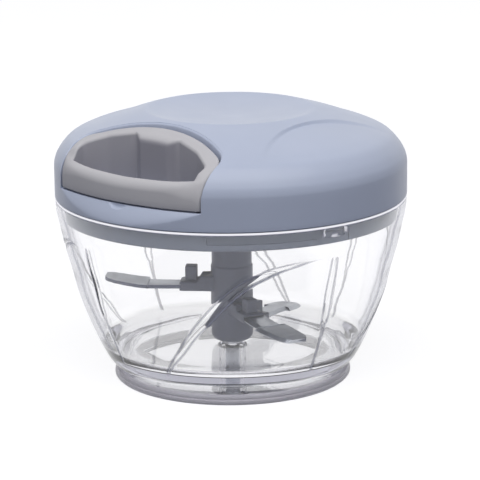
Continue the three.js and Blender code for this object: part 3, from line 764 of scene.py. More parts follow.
@dataclass(frozen=True)
class BrushedSteel:
    """Steel strip or pin: grey metal with fine lines along it, drawn coarser than real, to show.

    The lines lie line mm apart round a pin. On a strip they follow U, and where an edge colour is
    given, the first eighth of U, which is the sheared back edge, has it.
    """

    name: str
    code: str
    roughness: float
    line: float = 0.5
    strip: bool = False
    edge: str = ""
    shade: float = 6.0
    edge_share: float = 0.124

    def build(self) -> Material:
        """Makes the material: the lines are in its roughness and bump.

        Returns:
            The material.
        """
        material, tree = blank(self.name)
        place = add(tree, "TexCoord", out="UV" if self.strip else "Object")
        fine = per_mm(self.line)
        stretch = (4.0, 120.0, 1.0) if self.strip else (fine, fine, per_mm(30))
        mapping = add(tree, "Mapping", Vector=place, Scale=stretch)
        lines = add(tree, "TexNoise", Vector=mapping, Scale=1.0, Detail=4.0)
        low, high = self.roughness - 0.07, self.roughness + 0.1
        tone = tinted(tree, self.code, 0.03, self.shade)
        if self.edge:
            across = add(tree, "SeparateXYZ", Vector=add(tree, "TexCoord", out="UV"))
            back = add(tree, "Math", {"operation": "LESS_THAN"}, _0=across, _1=self.edge_share)
            tone = add(tree, "Mix", RGBA, 2, _0=back, _6=tone, _7=colour(self.edge))
        return ready(material, Surface=add(
            tree, "BsdfPrincipled", Base_Color=tone, Metallic=1.0,
            Roughness=add(tree, "MapRange", **NOISE, Value=lines, To_Min=low, To_Max=high),
            Normal=add(tree, "Bump", Height=lines, Strength=0.25, Distance=0.02 * MM),
        ))


@dataclass(frozen=True)
class BraidedCord:
    """Braided nylon: bundles of thread that cross in a diamond pattern."""

    name: str
    code: str
    bundles: float
    rows: float

    def build(self) -> Material:
        """Makes the material from two sets of slanted waves on UV, one for each way of the braid.

        A wave is sin(2 pi (b u + r v)), with b bundles round the cord and r rows along it, and with
        -r for the other way. The weave is the product of the two.

        Returns:
            The material.
        """
        material, tree = blank(self.name)
        uv = add(tree, "TexCoord", out="UV")
        waves = []
        for lean in (-1, 1):
            turned = add(tree, "Mapping", Vector=uv, Scale=(self.bundles, lean * self.rows, 1.0))
            parts = add(tree, "SeparateXYZ", Vector=turned).node.outputs
            total = add(tree, "Math", {"operation": "ADD"}, _0=parts[0], _1=parts[1])
            angle = add(tree, "Math", MULTIPLY, _0=total, _1=TAU)
            waves.append(add(tree, "Math", {"operation": "SINE"}, _0=angle))
        weave = add(tree, "Math", MULTIPLY, _0=waves[0], _1=waves[1])
        # Painted shade: the colour is darker where the weave sinks between the bundles
        level = add(tree, "MapRange", Value=weave, From_Min=-1.0, From_Max=1.0, To_Min=0.8, To_Max=1.08)
        return ready(material, Surface=add(
            tree, "BsdfPrincipled", Roughness=0.75, Sheen_Weight=0.25,
            Base_Color=add(tree, "HueSaturation", Value=level, Color=colour(self.code)),
            Normal=add(tree, "Bump", Height=weave, Strength=0.5, Distance=0.12 * MM),
        ))


Finish = MouldedPlastic | ClearPlastic | SoftRubber | BrushedSteel | BraidedCord


def made(finish: Finish) -> Material:
    """A field of Finishes that is filled with the finish's material."""
    return field(default_factory=finish.build)


@dataclass
class Finishes:
    """Every finish of the chopper, made once."""

    # Satin skins: broad soft lights. The grip is nearly matt, with painted shade down its finger hole
    lid: Material = made(MouldedPlastic("abs_blue_grey_satin", "#bdc5d8", 0.34, 0.3))
    grip: Material = made(MouldedPlastic("abs_warm_grey_satin", "#c9c7c9", 0.42, 0.08, "#9f9da4"))
    skirt: Material = made(MouldedPlastic("abs_slate_satin", "#727989", 0.42))
    hub: Material = made(MouldedPlastic("nylon_dark_slate", "#5a5e70", 0.42))
    white: Material = made(MouldedPlastic("acetal_white", "#e2e0d8", 0.4))
    # Water-clear, with painted shade as grey lines along its flutes and at its thick edges
    bowl: Material = made(ClearPlastic("styrene_clear_polished", "#ffffff", "#cbcbd6", 0.0, tint=22.0))
    # Clouded, so that light spreads in its steps, and grey with painted shade on its slanting faces
    foot: Material = made(ClearPlastic(
        "rubber_translucent_grey", "#e8e7ea", "#c4c2cc", 0.12, 1.45, 30.0, "#dad7da", 0.7,
    ))
    seal: Material = made(SoftRubber("silicone_milky", "#e4e6ee", 0.4, 0.15))
    # Ground strip with a dark sheared back, and brighter or duller turned and plated metal
    blade: Material = made(BrushedSteel(
        "stainless_ground", "#b4b7be", 0.34, strip=True, edge="#5c6070",
    ))
    pin: Material = made(BrushedSteel("stainless_turned", "#d5d8de", 0.2, 0.4))
    screw: Material = made(BrushedSteel("steel_zinc_plated", "#9a9ca3", 0.33))
    spring: Material = made(BrushedSteel("spring_steel_blued", "#5e636c", 0.35))
    # Dull thread with a faint sheen. UV differs on a whole cord and on its free stretch
    cord: Material = made(BraidedCord("nylon_braided", "#dcdcd8", 6.0, 2.0))
    free_cord: Material = made(BraidedCord("nylon_braided_free", "#dcdcd8", 4.0, 160.0))


def dress(obj: Piece, material: Material, body: Body | None, slot: str, *nodes: str) -> None:
    """Gives a piece its finish and body, and hides the CAD nodes that it stands for.

    Args:
        obj: The piece.
        material: Its finish.
        body: The body that it rides on, or None where it is blended.
        slot: Not used.
        nodes: The CAD nodes that it replaces.
    """
    obj.data.materials.clear()
    obj.data.materials.append(material)
    if body is not None:
        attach(obj, body.value)
    if nodes:
        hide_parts(*nodes)
    LOG.info("%s: %d faces, %s", obj.name, len(obj.data.polygons), material.name)


# Bowl


@dataclass
class Bowl:
    """Clear bowl with leaf-shaped flutes, its foot ring and the pin that the blades turn on."""

    finishes: Finishes
    rim_radius: float = 62.1
    rim_height: float = 66.3
    waist_radius: float = 40.9
    waist_height: float = 3.7
    wall: float = 2.0
    floor_height: float = 11.2
    floor_thickness: float = 2.2
    floor_radius: float = 39.0
    foot_radius: float = 39.4
    foot_wall: float = 2.4
    foot_low: float = 0.9
    boss_radius: float = 4.8
    boss_low: float = 2.4
    bore_radius: float = 2.8
    columns: int = 640
    coarse: int = 4
    # The outside's rows: how many up to each of two heights, and from there to the rim
    row_heights: tuple = (46.0, 56.0)
    row_counts: tuple = (62, 28, 14)
    # The wall from the waist to the rim: [radius share, height share]
    wall_shares: tuple = (
        (0, 0), (0.061, 0.024), (0.179, 0.072), (0.255, 0.118), (0.415, 0.236), (0.557, 0.355),
        (0.675, 0.473), (0.759, 0.591), (0.858, 0.709), (0.934, 0.827), (1, 0.946), (1, 1),
    )
    flutes: int = 4
    flute_high: float = 54.6
    flute_low: float = 11.0
    flute_depth: float = 0.4
    crease_depth: float = 0.12
    crease_half: float = 0.65
    shade_line_half: float = 0.45
    # How far under the outer skin a point still takes the painted shade lines of the flutes' edges
    skin_depth: float = 1.3
    upright_turn: float = 75.2
    swept_turn: float = 66.0
    # Flutes from the top: [fall share, turn in degrees], and [fall share, half width in mm]
    swept_path: tuple = (
        (0, 0), (0.009, 3), (0.023, 6), (0.053, 11), (0.112, 17), (0.167, 21.3), (0.335, 29.8),
        (0.495, 36), (0.61, 40.5), (0.771, 46.1), (0.924, 52.3), (1, 55),
    )
    swept_width: tuple = (
        (0, 0.3), (0.03, 0.8), (0.06, 1.2), (0.112, 1.4), (0.2, 1.6), (0.4, 1.7), (0.6, 1.3),
        (0.77, 1.0), (0.92, 0.5), (1, 0.3),
    )
    upright_width: tuple = (
        (0, 0.3), (0.08, 1.2), (0.3, 1.5), (0.52, 1.2), (0.62, 0.5), (0.75, 0.3), (1, 0.3),
    )
    # A lug: inner and outer radius, half its length, bottom and top. Its oval pad: half sizes, and the
    # height and radius of its middle
    lug_inner: float = 58.9
    lug_outer: float = 61.1
    lug_half: float = 4.0
    lug_low: float = 61.9
    lug_high: float = 63.8
    pad_half: tuple = (4.4, 2.1)
    pad_height: float = 63.9
    pad_radius: float = 60.0
    # The pad from its root to its middle: [share of its half sizes, radius]
    pad_rings: tuple = ((0, 61.0), (1, 61.0), (1, 59.75), (0.93, 59.65), (0.86, 59.65), (0, 59.65))
    # The soft ring, stepped like the real one: a lip, a band and a bead above
    foot: Turned = Turned("foot_ring_soft", (
        (36.7, 0.05, 0.2), (41.6, 0.0, 0.5), (42.3, 0.8, 0.5), (42.3, 1.7, 0.3), (41.8, 1.95, 0.2),
        (41.8, 2.3, 0.2), (42.1, 2.5, 0.2), (42.0, 3.4, 0.4), (39.7, 3.4, 0.2), (39.7, 0.6, 0.1),
        (36.7, 0.6, 0.1),
    ), 240, spacing=1.2, sharp=50.0)
    # The steel pin, with its head under the boss
    pin: Turned = Turned("pin_turned", (
        (0, 0.9, 0), (4.6, 0.9, 0.3), (4.6, 2.1, 0.2), (2.5, 2.1, 0.1), (2.5, 28.8, 0.2),
        (1.3, 30, 0.4), (0, 30, 0),
    ), 48, closed=False)

    def outside(self) -> Array:
        """The wall's outer profile from the waist to the rim, as (radius, height)."""
        low = np.array([self.waist_radius, self.waist_height])
        high = np.array([self.rim_radius, self.rim_height])
        return eased(low + np.array(self.wall_shares, float) * (high - low), 10)

    def grooves(self, turn: Array, height: Array, radius: Array) -> tuple[Array, Array]:
        """How deep the flutes cut at each place, and how near each place is to a flute's edge.

        With x the distance from a flute's middle line and w its half width, the depth is
        d min(w/2, 1) (1 - (x/w)^2) inside the flute, and a fine crease c exp(-(x/h)^2) runs on past
        its ends. The edge share, which the finish turns into painted shade lines, is
        exp(-((|x| - w)/g)^2).

        Args:
            turn: Turns of the places.
            height: Their heights.
            radius: The wall's radius there.

        Returns:
            The depth in mm and the edge share.
        """
        fall = (self.flute_high - height) / (self.flute_high - self.flute_low)
        ends = smooth((fall + 0.01) / 0.03) * smooth((1.03 - fall) / 0.06)
        depth = np.zeros(np.broadcast(turn, height).shape)
        edge = np.zeros_like(depth)
        path = np.radians(np.interp(fall, *eased(self.swept_path, 10).T))
        slope = np.gradient(path[:, 0], height[:, 0])[:, None] * radius
        kinds = (
            (self.upright_turn, 0 * path, 1.0, self.upright_width),
            (self.swept_turn, path, 1 / np.sqrt(1 + slope**2), self.swept_width),
        )
        period = TAU / self.flutes
        for start, line, tilt, widths in kinds:
            half = np.interp(fall, *eased(widths, 10).T)
            away = turn - (math.radians(start) - line)
            away = (away + period / 2) % period - period / 2
            x = np.abs(away) * radius * tilt
            leaf = self.flute_depth * np.minimum(half / 2.0, 1) * np.clip(1 - (x / half) ** 2, 0, None)
            crease = self.crease_depth * np.exp(-((x / self.crease_half) ** 2))
            depth = np.maximum(depth, ends * np.maximum(leaf, crease))
            edge = np.maximum(edge, ends * np.exp(-(((x - half) / self.shade_line_half) ** 2)))
        return depth, edge

    def inside(self) -> Array:
        """The rest of the profile, from the rim over the floor to the foot, as (radius, height).

        Returns:
            The points, by two.
        """
        wall = self.outside()
        keep = (wall[:, 1] > self.floor_height + 4.0) & (wall[:, 1] < self.rim_height - 1.0)
        inner = wall[keep][::-3] - [self.wall, 0]
        under = self.floor_height - self.floor_thickness
        foot = self.foot_radius - self.foot_wall
        corners = [
            (self.rim_radius, self.rim_height, 0),
            (self.rim_radius - self.wall, self.rim_height, 0.7),
            *[(r, z, 0) for r, z in inner],
            (inner[-1, 0] - 0.8, self.floor_height + 2.2, 2.0),
            (self.floor_radius + 2.0, self.floor_height + 0.3, 2.0),
            (self.floor_radius, self.floor_height, 0.8),
            (self.bore_radius, self.floor_height, 0.2),
            (self.bore_radius, self.boss_low, 0.2),
            (self.boss_radius, self.boss_low, 0.6),
            (self.boss_radius, under, 0.4),
            (foot, under, 1.4),
            (foot, self.foot_low, 0.4),
            (self.foot_radius, self.foot_low, 0.4),
            (self.foot_radius, self.waist_height, 0.5),
        ]
        return spread(rounded(corners, closed=False), 2.5)[1:]

    def shell(self) -> Piece:
        """Makes the bowl: a fine grid outside, a coarse one inside, and rows that join the two.

        Returns:
            The bowl's piece, with the share of flute edge on each point.
        """
        ends = (self.waist_height, *self.row_heights, self.rim_height - 0.7)
        rows = zip(ends[:-1], ends[1:], self.row_counts)
        height = np.unique(np.concatenate([np.linspace(*row) for row in rows]))[:, None]
        radius = np.interp(height, *self.outside()[:, ::-1].T)
        turn = np.linspace(0, TAU, self.columns, endpoint=False)[None]
        depth, _ = self.grooves(turn, height, radius)
        outer = around(turn, radius - depth, height)
        line = np.vstack([[self.rim_radius - 0.15, self.rim_height - 0.25], self.inside()])
        inner = around(turn[:, ::self.coarse], line[:, :1], line[:, 1:])
        joins = [self.stitched(outer[-1], inner[0]), self.stitched(outer[0], inner[-1], True)]
        whole = grid(outer, wrap_cols=True).joined(grid(inner, wrap_cols=True), *joins)
        obj = whole.outward().piece("bowl_shell")
        change(obj, Cut.JOIN, *[shape(turn) for turn in LUG_TURNS for shape in (self.lug, self.pad)])
        shade(obj, 32)
        self.mark_painted_lines_and_gloss(obj)
        return obj

    def stitched(self, fine: Array, few: Array, flip: bool = False) -> Surface:
        """Joins a ring of many points to a ring of few: each few-point takes its nearest many.

        Args:
            fine: The ring of many points.
            few: The ring of few points, one for every coarse step of the other.
            flip: Whether the faces point the other way.

        Returns:
            The joining faces, three-sided once their doubled points are merged.
        """
        step = self.coarse
        j = np.arange(len(fine))
        near = ((j + step // 2) // step) % len(few)
        sides = np.stack([fine[j], fine[(j + 1) % len(fine)], few[near], few[near]], axis=1)
        i = np.arange(len(few))
        middle = fine[(i * step + step // 2) % len(fine)]
        gaps = np.stack([middle, middle, few[(i + 1) % len(few)], few[i]], axis=1)
        corners = np.concatenate([sides, gaps])
        if flip:
            corners = corners[:, ::-1]
        faces = np.arange(corners.shape[0] * 4).reshape(-1, 4)
        return Surface(corners.reshape(-1, 3), faces, np.zeros((len(faces), 4, 2)))

    def lug(self, degrees: float) -> Piece:
        """A bayonet lug inside the rim, at a turn."""
        turn, half = math.radians(degrees), self.lug_half / LUG_RADIUS
        return arc_block(
            self.lug_inner, self.lug_outer, turn - half, turn + half, self.lug_low, self.lug_high,
        ).piece("lug")

    def pad(self, degrees: float) -> Piece:
        """The oval pad that a lug stands on, as rings e (a cos t, b sin t) laid on the wall.

        Args:
            degrees: Its turn.

        Returns:
            The pad's piece.
        """
        t = np.linspace(0, TAU, 40, endpoint=False)[None]
        e, radius = np.array(self.pad_rings, float).T[..., None]
        turn = math.radians(degrees) + e * self.pad_half[0] * np.cos(t) / self.pad_radius
        rings = around(turn, radius, self.pad_height + e * self.pad_half[1] * np.sin(t))
        return grid(rings, wrap_cols=True).outward().piece("pad")

    def mark_painted_lines_and_gloss(self, obj: Piece) -> None:
        """Marks the edge share for painted shade lines, 2 at the rim and round the pads, and the wall
        share.

        Args:
            obj: The bowl's piece.
        """
        x, y, z = places_of(obj)
        radius, turn = np.hypot(x, y), np.arctan2(x, -y)
        order = np.argsort(z)
        # The heights have to rise for the flutes' slope, so equal ones are set a hair apart
        height = z[order][:, None] + np.arange(len(z))[:, None] * 1e-9
        at = np.interp(height, *self.outside()[:, ::-1].T)
        _, edge = self.grooves(turn[order][:, None], height, at)
        share, skin = np.zeros(len(z)), np.zeros(len(z))
        share[order], skin[order] = edge[:, 0], at[:, 0] - self.skin_depth
        share[radius <= skin] = 0
        bright = (z > self.rim_height - 0.8) & (radius > self.rim_radius - 1.6)
        third = TAU / len(LUG_TURNS)
        away = ((turn - math.radians(LUG_TURNS[0]) + third / 2) % third - third / 2) * radius
        oval = np.hypot(away / self.pad_half[0], (z - self.pad_height) / self.pad_half[1])
        bright |= (oval > 0.9) & (oval < 1.05) & (radius < skin)
        # Flute edges take painted shade lines; 2 takes white gloss at the rim and round the pads
        mark(obj, "edge", np.where(bright, 2.0, share))
        # The painted shade bands show only above the floor
        mark(obj, "wall", smooth((z - self.floor_height - 1.0) / 4.0))

    def build(self) -> None:
        """Makes and dresses the bowl's pieces."""
        f = self.finishes
        dress(self.shell(), f.bowl, Body.BOWL, "clear_plastic", "bowl")
        dress(self.foot.piece(), f.foot, Body.BOWL, "foot_rubber", "foot_ring")
        dress(self.pin.piece(), f.pin, Body.BOWL, "steel", "spindle_pin")


# Blade unit


@dataclass(frozen=True)
class Blade:
    """One blade's level: its name, height, turn in degrees and the rise of its tip."""

    name: str
    height: float
    degrees: float
    rise: float

    def facing(self, surface: Surface) -> Surface:
        """Turns a surface made along +X to the blade's arm."""
        return surface.turned(math.radians(self.degrees - 90))


@dataclass
class BladeUnit:
    """Hub with three arms, and in each arm a blade held by a peg."""

    finishes: Finishes
    radius: float = 7.5
    neck_radius: float = 7.15
    low: float = 12.4
    high: float = 61.0
    bore_radius: float = 4.3
    bore_high: float = 33.0
    socket_radius: float = 6.0
    socket_low: float = 47.0
    arm_start: float = 3.0
    arm_shoulder: float = 9.5
    arm_reach: float = 18.6
    arm_half: float = 4.0
    arm_low: float = 1.3
    arm_high: float = 1.5
    root_rise: float = 2.2
    slot_half: float = 3.85
    slot_start: float = 11.5
    slot_play: float = 0.15
    peg_place: float = 14.5
    peg_radius: float = 1.6
    peg_play: float = 0.3
    peg_side: float = 4.2
    peg_height: float = 5.0
    rib_turns: tuple = (-41.2, 138.8)
    rib_radii: tuple = (3.9, 6.6)
    rib_half: float = 1.2
    blade_thickness: float = 1.2
    blade_start: float = 11.8
    blade_reach: float = 44.8
    blade_sweep: float = 3.5
    bevel_width: float = 1.3
    bevel_edge: float = 0.25
    blades: tuple = (
        Blade("upper", 32.4, -55, 3.6),
        Blade("middle", 24.2, 65, -1.5),
        Blade("lower", 16.6, 185, -2.4),
    )
    # Along the blade: [distance share, width in mm, sweep share, rise share]
    stations: tuple = (
        (0, 7.4, 0, 0), (0.205, 7.5, 0, 0), (0.23, 10.4, 0.01, 0.01), (0.3, 11.2, 0.04, 0.03),
        (0.45, 11.4, 0.12, 0.1), (0.6, 11.3, 0.26, 0.22), (0.72, 11.0, 0.42, 0.4),
        (0.84, 10.4, 0.64, 0.64), (0.93, 9.2, 0.84, 0.84), (0.98, 7.4, 0.95, 0.95), (1, 5.4, 1, 1),
    )
    bush: Turned = Turned(
        "bush_turned", ((2.8, 12.7, 0.2), (4.0, 12.7, 0.2), (4.0, 26.7, 0.2), (2.8, 26.7, 0.2)), 48,
    )

    def post(self) -> Piece:
        """Turns the post, with its rounded foot, its neck, the bore below and the socket above."""
        r, low = self.radius, self.low
        return Turned("hub_post", (
            (self.bore_radius, low, 0.2), (5.3, low, 0.8), (6.8, low + 0.8, 1.5), (7.4, low + 2.1, 1.0),
            (r, low + 3.6, 0.6), (r, 39.5, 0.3), (self.neck_radius, 40.2, 0.3),
            (self.neck_radius, 53.0, 0.3), (r, 53.7, 0.3), (r, self.high, 0.4),
            (self.socket_radius, self.high, 0.3), (self.socket_radius, self.socket_low, 0.2),
            (0, self.socket_low, 0), (0, self.bore_high, 0), (self.bore_radius, self.bore_high, 0.2),
        ), 96).piece()

    def arm(self, blade: Blade) -> Surface:
        """A blade's arm: a tongue with an eased edge, which rises to its root at the post.

        Args:
            blade: The arm's level.

        Returns:
            The closed surface, along +X.
        """
        start, shoulder, reach, half = self.arm_start, self.arm_shoulder, self.arm_reach, self.arm_half
        outline = spread(rounded((
            (start, -half - 0.6, 0), (shoulder, -half, 2), (reach, -half, 1.2), (reach, half, 1.2),
            (shoulder, half, 2), (start, half + 0.6, 0),
        ), steps=8), 1.0, True)
        low = blade.height - self.arm_low
        near = smooth((12.2 - outline[:, 0]) / 1.4)
        return block(outline, low, low, 0.7, blade.height + self.arm_high + self.root_rise * near)

    def peg_hole(self, blade: Blade, reach: float) -> Piece:
        """The cutter for a peg's hole, from below a blade to above it."""
        low, high = blade.height - reach, blade.height + reach
        rod = upright_rod((self.peg_place, 0), self.peg_radius + self.peg_play, low, high)
        return blade.facing(rod).piece("hole")

    def hub(self) -> Piece:
        """Turns the post with its bore and socket, and joins arms and ribs to it.

        Returns:
            The hub's piece.
        """
        post = self.post()
        for blade in self.blades:
            change(post, Cut.JOIN, blade.facing(self.arm(blade)).piece("arm"))
            low = blade.height - self.blade_thickness / 2 - self.slot_play
            plan = oblong(self.slot_start, self.arm_reach + 2, -self.slot_half, self.slot_half)
            slot = block(plan, low, low + self.blade_thickness + 2 * self.slot_play)
            change(post, Cut.TAKE, blade.facing(slot).piece("slot"), self.peg_hole(blade, 5.2))
        bore = upright_rod((0, 0), self.bore_radius, self.low - 1, self.bore_high, 64)
        change(post, Cut.TAKE, bore.piece("bore"))
        plan = oblong(*self.rib_radii, -self.rib_half, self.rib_half)
        rib = block(plan, self.socket_low - 0.5, self.high - 0.2)
        for turn in self.rib_turns:
            change(post, Cut.JOIN, rib.turned(math.radians(turn)).piece("rib"))
        shade(post, 35)
        return post

    def blade(self, blade: Blade) -> Piece:
        """Carries the blade's section out to the tip.

        The section at a distance is a flat strip whose front edge is ground to a bevel. Width, sweep
        and rise follow the stations.

        Args:
            blade: Its level.

        Returns:
            The blade's piece.
        """
        table = np.array(self.stations, float)
        width, sweep, rise = (eased(table[:, [0, k]], 8)[:, 1] for k in (1, 2, 3))
        share = np.maximum.accumulate(eased(table[:, [0, 1]], 8)[:, 0])
        along = self.blade_start + share * (self.blade_reach - self.blade_start)
        width = np.clip(width, 1.2, None)
        sweep, rise = sweep * self.blade_sweep, rise * blade.rise
        half = self.blade_thickness / 2
        front = np.minimum(self.bevel_width, width / 2) - width / 2
        # Once round the section: [across, height], from the back's foot over the top to the edge
        section = (
            (width / 2, -half), (width / 2, half), (width / 4, half), (0 * width, half), (front, half),
            (-width / 2, self.bevel_edge - half), (-width / 2, -half), (0 * width, -half),
        )
        rings = np.stack([np.stack([along, sweep + a, rise + h], axis=1) for a, h in section], axis=1)
        strip = blade.facing(capped(rings).moved(0, 0, blade.height))
        obj = strip.piece(f"blade_{blade.name}_ground")
        change(obj, Cut.TAKE, self.peg_hole(blade, 5.0))
        shade(obj, 30)
        return obj

    def peg(self, blade: Blade) -> Piece:
        """The peg: a shank through arm and blade, under a square head with eased edges.

        Args:
            blade: The level that it stands on.

        Returns:
            The peg's piece.
        """
        top = blade.height + self.arm_high
        half = self.peg_side / 2
        plan = oblong(self.peg_place - half, self.peg_place + half, -half, half)
        plan = spread(rounded([(x, y, 0.5) for x, y in plan]), 0.8, True)
        head = block(plan, top + 0.3, top + 0.3 + self.peg_height, 0.45)
        low = blade.height - self.arm_low
        shank = upright_rod((self.peg_place, 0), self.peg_radius, low, top + 1.5)
        obj = blade.facing(head).piece(f"peg_{blade.name}_square")
        change(obj, Cut.JOIN, blade.facing(shank).piece("shank"))
        shade(obj, 35)
        return obj

    def build(self) -> None:
        """Makes and dresses the blade unit's pieces."""
        f = self.finishes
        dress(self.hub(), f.hub, Body.BLADES, "hub_plastic", "blade_hub")
        for blade in self.blades:
            dress(self.blade(blade), f.blade, Body.BLADES, "blade_steel", f"blade_{blade.name}")
            dress(self.peg(blade), f.hub, Body.BLADES, "hub_plastic", f"blade_peg_{blade.name}")
        dress(self.bush.piece(), f.white, Body.BLADES, "white_plastic", "hub_bush")


# Lid


@dataclass(frozen=True)
class Screws:
    """Equal pan-head screws on a ring, with a thread and a cross recess.

    First is the turn of the first one, head and shank are each one's bottom and top, and below says
    that the recess is in the head's underside.
    """

    name: str
    count: int
    first: float
    ring: float
    head_radius: float
    head: tuple[float, float]
    shank: tuple[float, float]
    below: bool
    pitch: float = 0.8
    crest: float = 1.1
    root: float = 0.85
    slot_half: float = 0.35

    def turns(self) -> list[float]:
        """The turn of each screw in degrees."""
        return [self.first + 360 / self.count * k for k in range(self.count)]

    def places(self) -> list[Array]:
        """The place of each screw."""
        return [around(math.radians(turn), self.ring, 0.0) for turn in self.turns()]

    def piece(self, name: str, place: Array) -> Piece:
        """Makes one screw. Its thread goes in and out between crest and root with each half pitch.

        Args:
            name: The piece's name.
            place: Where it stands.

        Returns:
            The screw's piece.
        """
        (head_low, head_high), (low, high) = self.head, self.shank
        z = np.linspace(low, high, 2 * int((high - low) / self.pitch) + 1)
        thread = np.stack([np.where(np.arange(len(z)) % 2, self.crest, self.root), z], axis=1)
        shank = np.vstack([[(0, low)], thread, [(0, high)]])
        ease_low, ease_high = (0.7, 0.2) if self.below else (0.2, 0.7)
        obj = Turned(name, (
            (0, head_low, 0), (self.head_radius, head_low, ease_low),
            (self.head_radius, head_high, ease_high), (0, head_high, 0),
        ), 32, closed=False, steps=5).piece()
        change(obj, Cut.JOIN, revolved(shank, 32).piece("shank"))
        floor = head_low - 1 if self.below else head_high - 0.7
        reach = self.head_radius * 0.62
        for x, y in ((reach, self.slot_half), (self.slot_half, reach)):
            change(obj, Cut.TAKE, block(oblong(-x, x, -y, y), floor, floor + 1.7).piece("recess"))
        obj.data.transform(Matrix.Translation(Vector(place) * MM))
        shade(obj, 35)
        return obj


COVER_SCREWS = Screws("cover_screw", 4, 45.0, 45.0, 3.0, (65.7, 67.2), (66.7, 77.0), True)
CAP_SCREWS = Screws("cap_screw", 3, 60.0, 31.0, 2.6, (72.1, 73.5), (65.0, 73.1), False)


@dataclass(frozen=True)
class Dome:
    """The lid's dome with a dish in its top, and three lobes with a crescent step."""

    radius: float = 62.3
    shoulder: float = 77.0
    top: float = 96.5
    dish_radius: float = 29.6
    dish_depth: float = 2.4
    dish_ease: float = 0.8
    lobe_middles: tuple = (88.0, 180.0, 272.0)
    lobe_rim: float = 57.5
    lobe_depth: float = 1.0
    lobe_ease: float = 0.7
    # The lobe's inner line: [degrees from its middle, radius]
    lobe_line: tuple = (
        (0, 33.7), (12, 34.8), (22, 37.9), (29, 42.3), (34, 48.0), (36.5, 53.5), (38, 58.0),
    )
    # From the shoulder to the dish's rim: [radius share, height share]
    shares: tuple = (
        (1, 0), (0.998, 0.059), (0.991, 0.121), (0.978, 0.19), (0.958, 0.256), (0.93, 0.331),
        (0.89, 0.412), (0.8287, 0.5103), (0.7187, 0.6115), (0.5015, 0.7513), (0.257, 0.882),
        (0.104, 0.951), (0, 1),
    )
    # From the dish's rim to its middle: [radius share, depth share]
    dish_shares: tuple = ((1, 0), (0.86, 0.31), (0.64, 0.64), (0.3, 0.93), (0, 1))

    def profile(self, inset: float = 0.0, sink: float = 0.0) -> Array:
        """The line from the shoulder over the dish's rim to the middle, as (radius, height).

        Args:
            inset: How far inside the outer skin it runs.
            sink: How far below the skin it runs without growing narrower.

        Returns:
            The points, with the dish's rim eased.
        """
        low = np.array([self.dish_radius + sink, self.shoulder])
        less = inset + sink
        reach = np.array([self.radius - self.dish_radius - less, self.top - self.shoulder - less])
        dome = eased(low + np.array(self.shares) * reach, 12)
        rim = low + [0, reach[1]]
        dish = eased(rim * [0, 1] + np.array(self.dish_shares) * [rim[0], -self.dish_depth], 8)
        before = dome[dome[:, 0] > rim[0] + self.dish_ease]
        after = dish[dish[:, 0] < rim[0] - self.dish_ease]
        return np.vstack([before, bend(before[-1], rim, after[0], 8)[1:-1], after])

    def lobes(self, turn: Array, radius: Array) -> Array:
        """How deep the lobes lie below the dome.

        The step lies where the radius passes the lobe's line, n at an angle from its middle, and its
        ease is measured square to that line. The depth d (1 - t^4)(1 - s)^1.2 fades to the rim and the
        ends, with s from 0 at the line to 1 at the rim, and t from 0 in the middle to 1.

        Args:
            turn: Turns in radians.
            radius: Radii in mm.

        Returns:
            The depth in mm.
        """
        line = eased([(-a, r) for a, r in self.lobe_line[:0:-1]] + list(self.lobe_line), 8)
        slope = np.gradient(line[:, 1], np.radians(line[:, 0]))
        depth = np.zeros(np.broadcast(turn, radius).shape)
        for middle in self.lobe_middles:
            away = np.degrees((turn - math.radians(middle) + TAU / 2) % TAU - TAU / 2)
            inner = np.interp(away, line[:, 0], line[:, 1])
            lean = np.interp(away, line[:, 0], slope) / radius
            step = smooth((radius - inner) / np.sqrt(1 + lean**2) / self.lobe_ease)
            t = np.clip(np.abs(away) / self.lobe_line[-1][0], 0, 1)
            s = np.clip((radius - inner) / np.maximum(self.lobe_rim - inner, 1e-3), 0, 1)
            depth = np.maximum(depth, self.lobe_depth * (1 - t**4) * (1 - s) ** 1.2 * step)
        return depth

    def height(self, x: Array, y: Array, sink: float = 0.0) -> Array:
        """The skin's height over a place in plan, or the height of a skin sunk below it."""
        line = self.profile(sink=sink)[::-1]
        return np.interp(np.hypot(x, y), line[:, 0], line[:, 1])


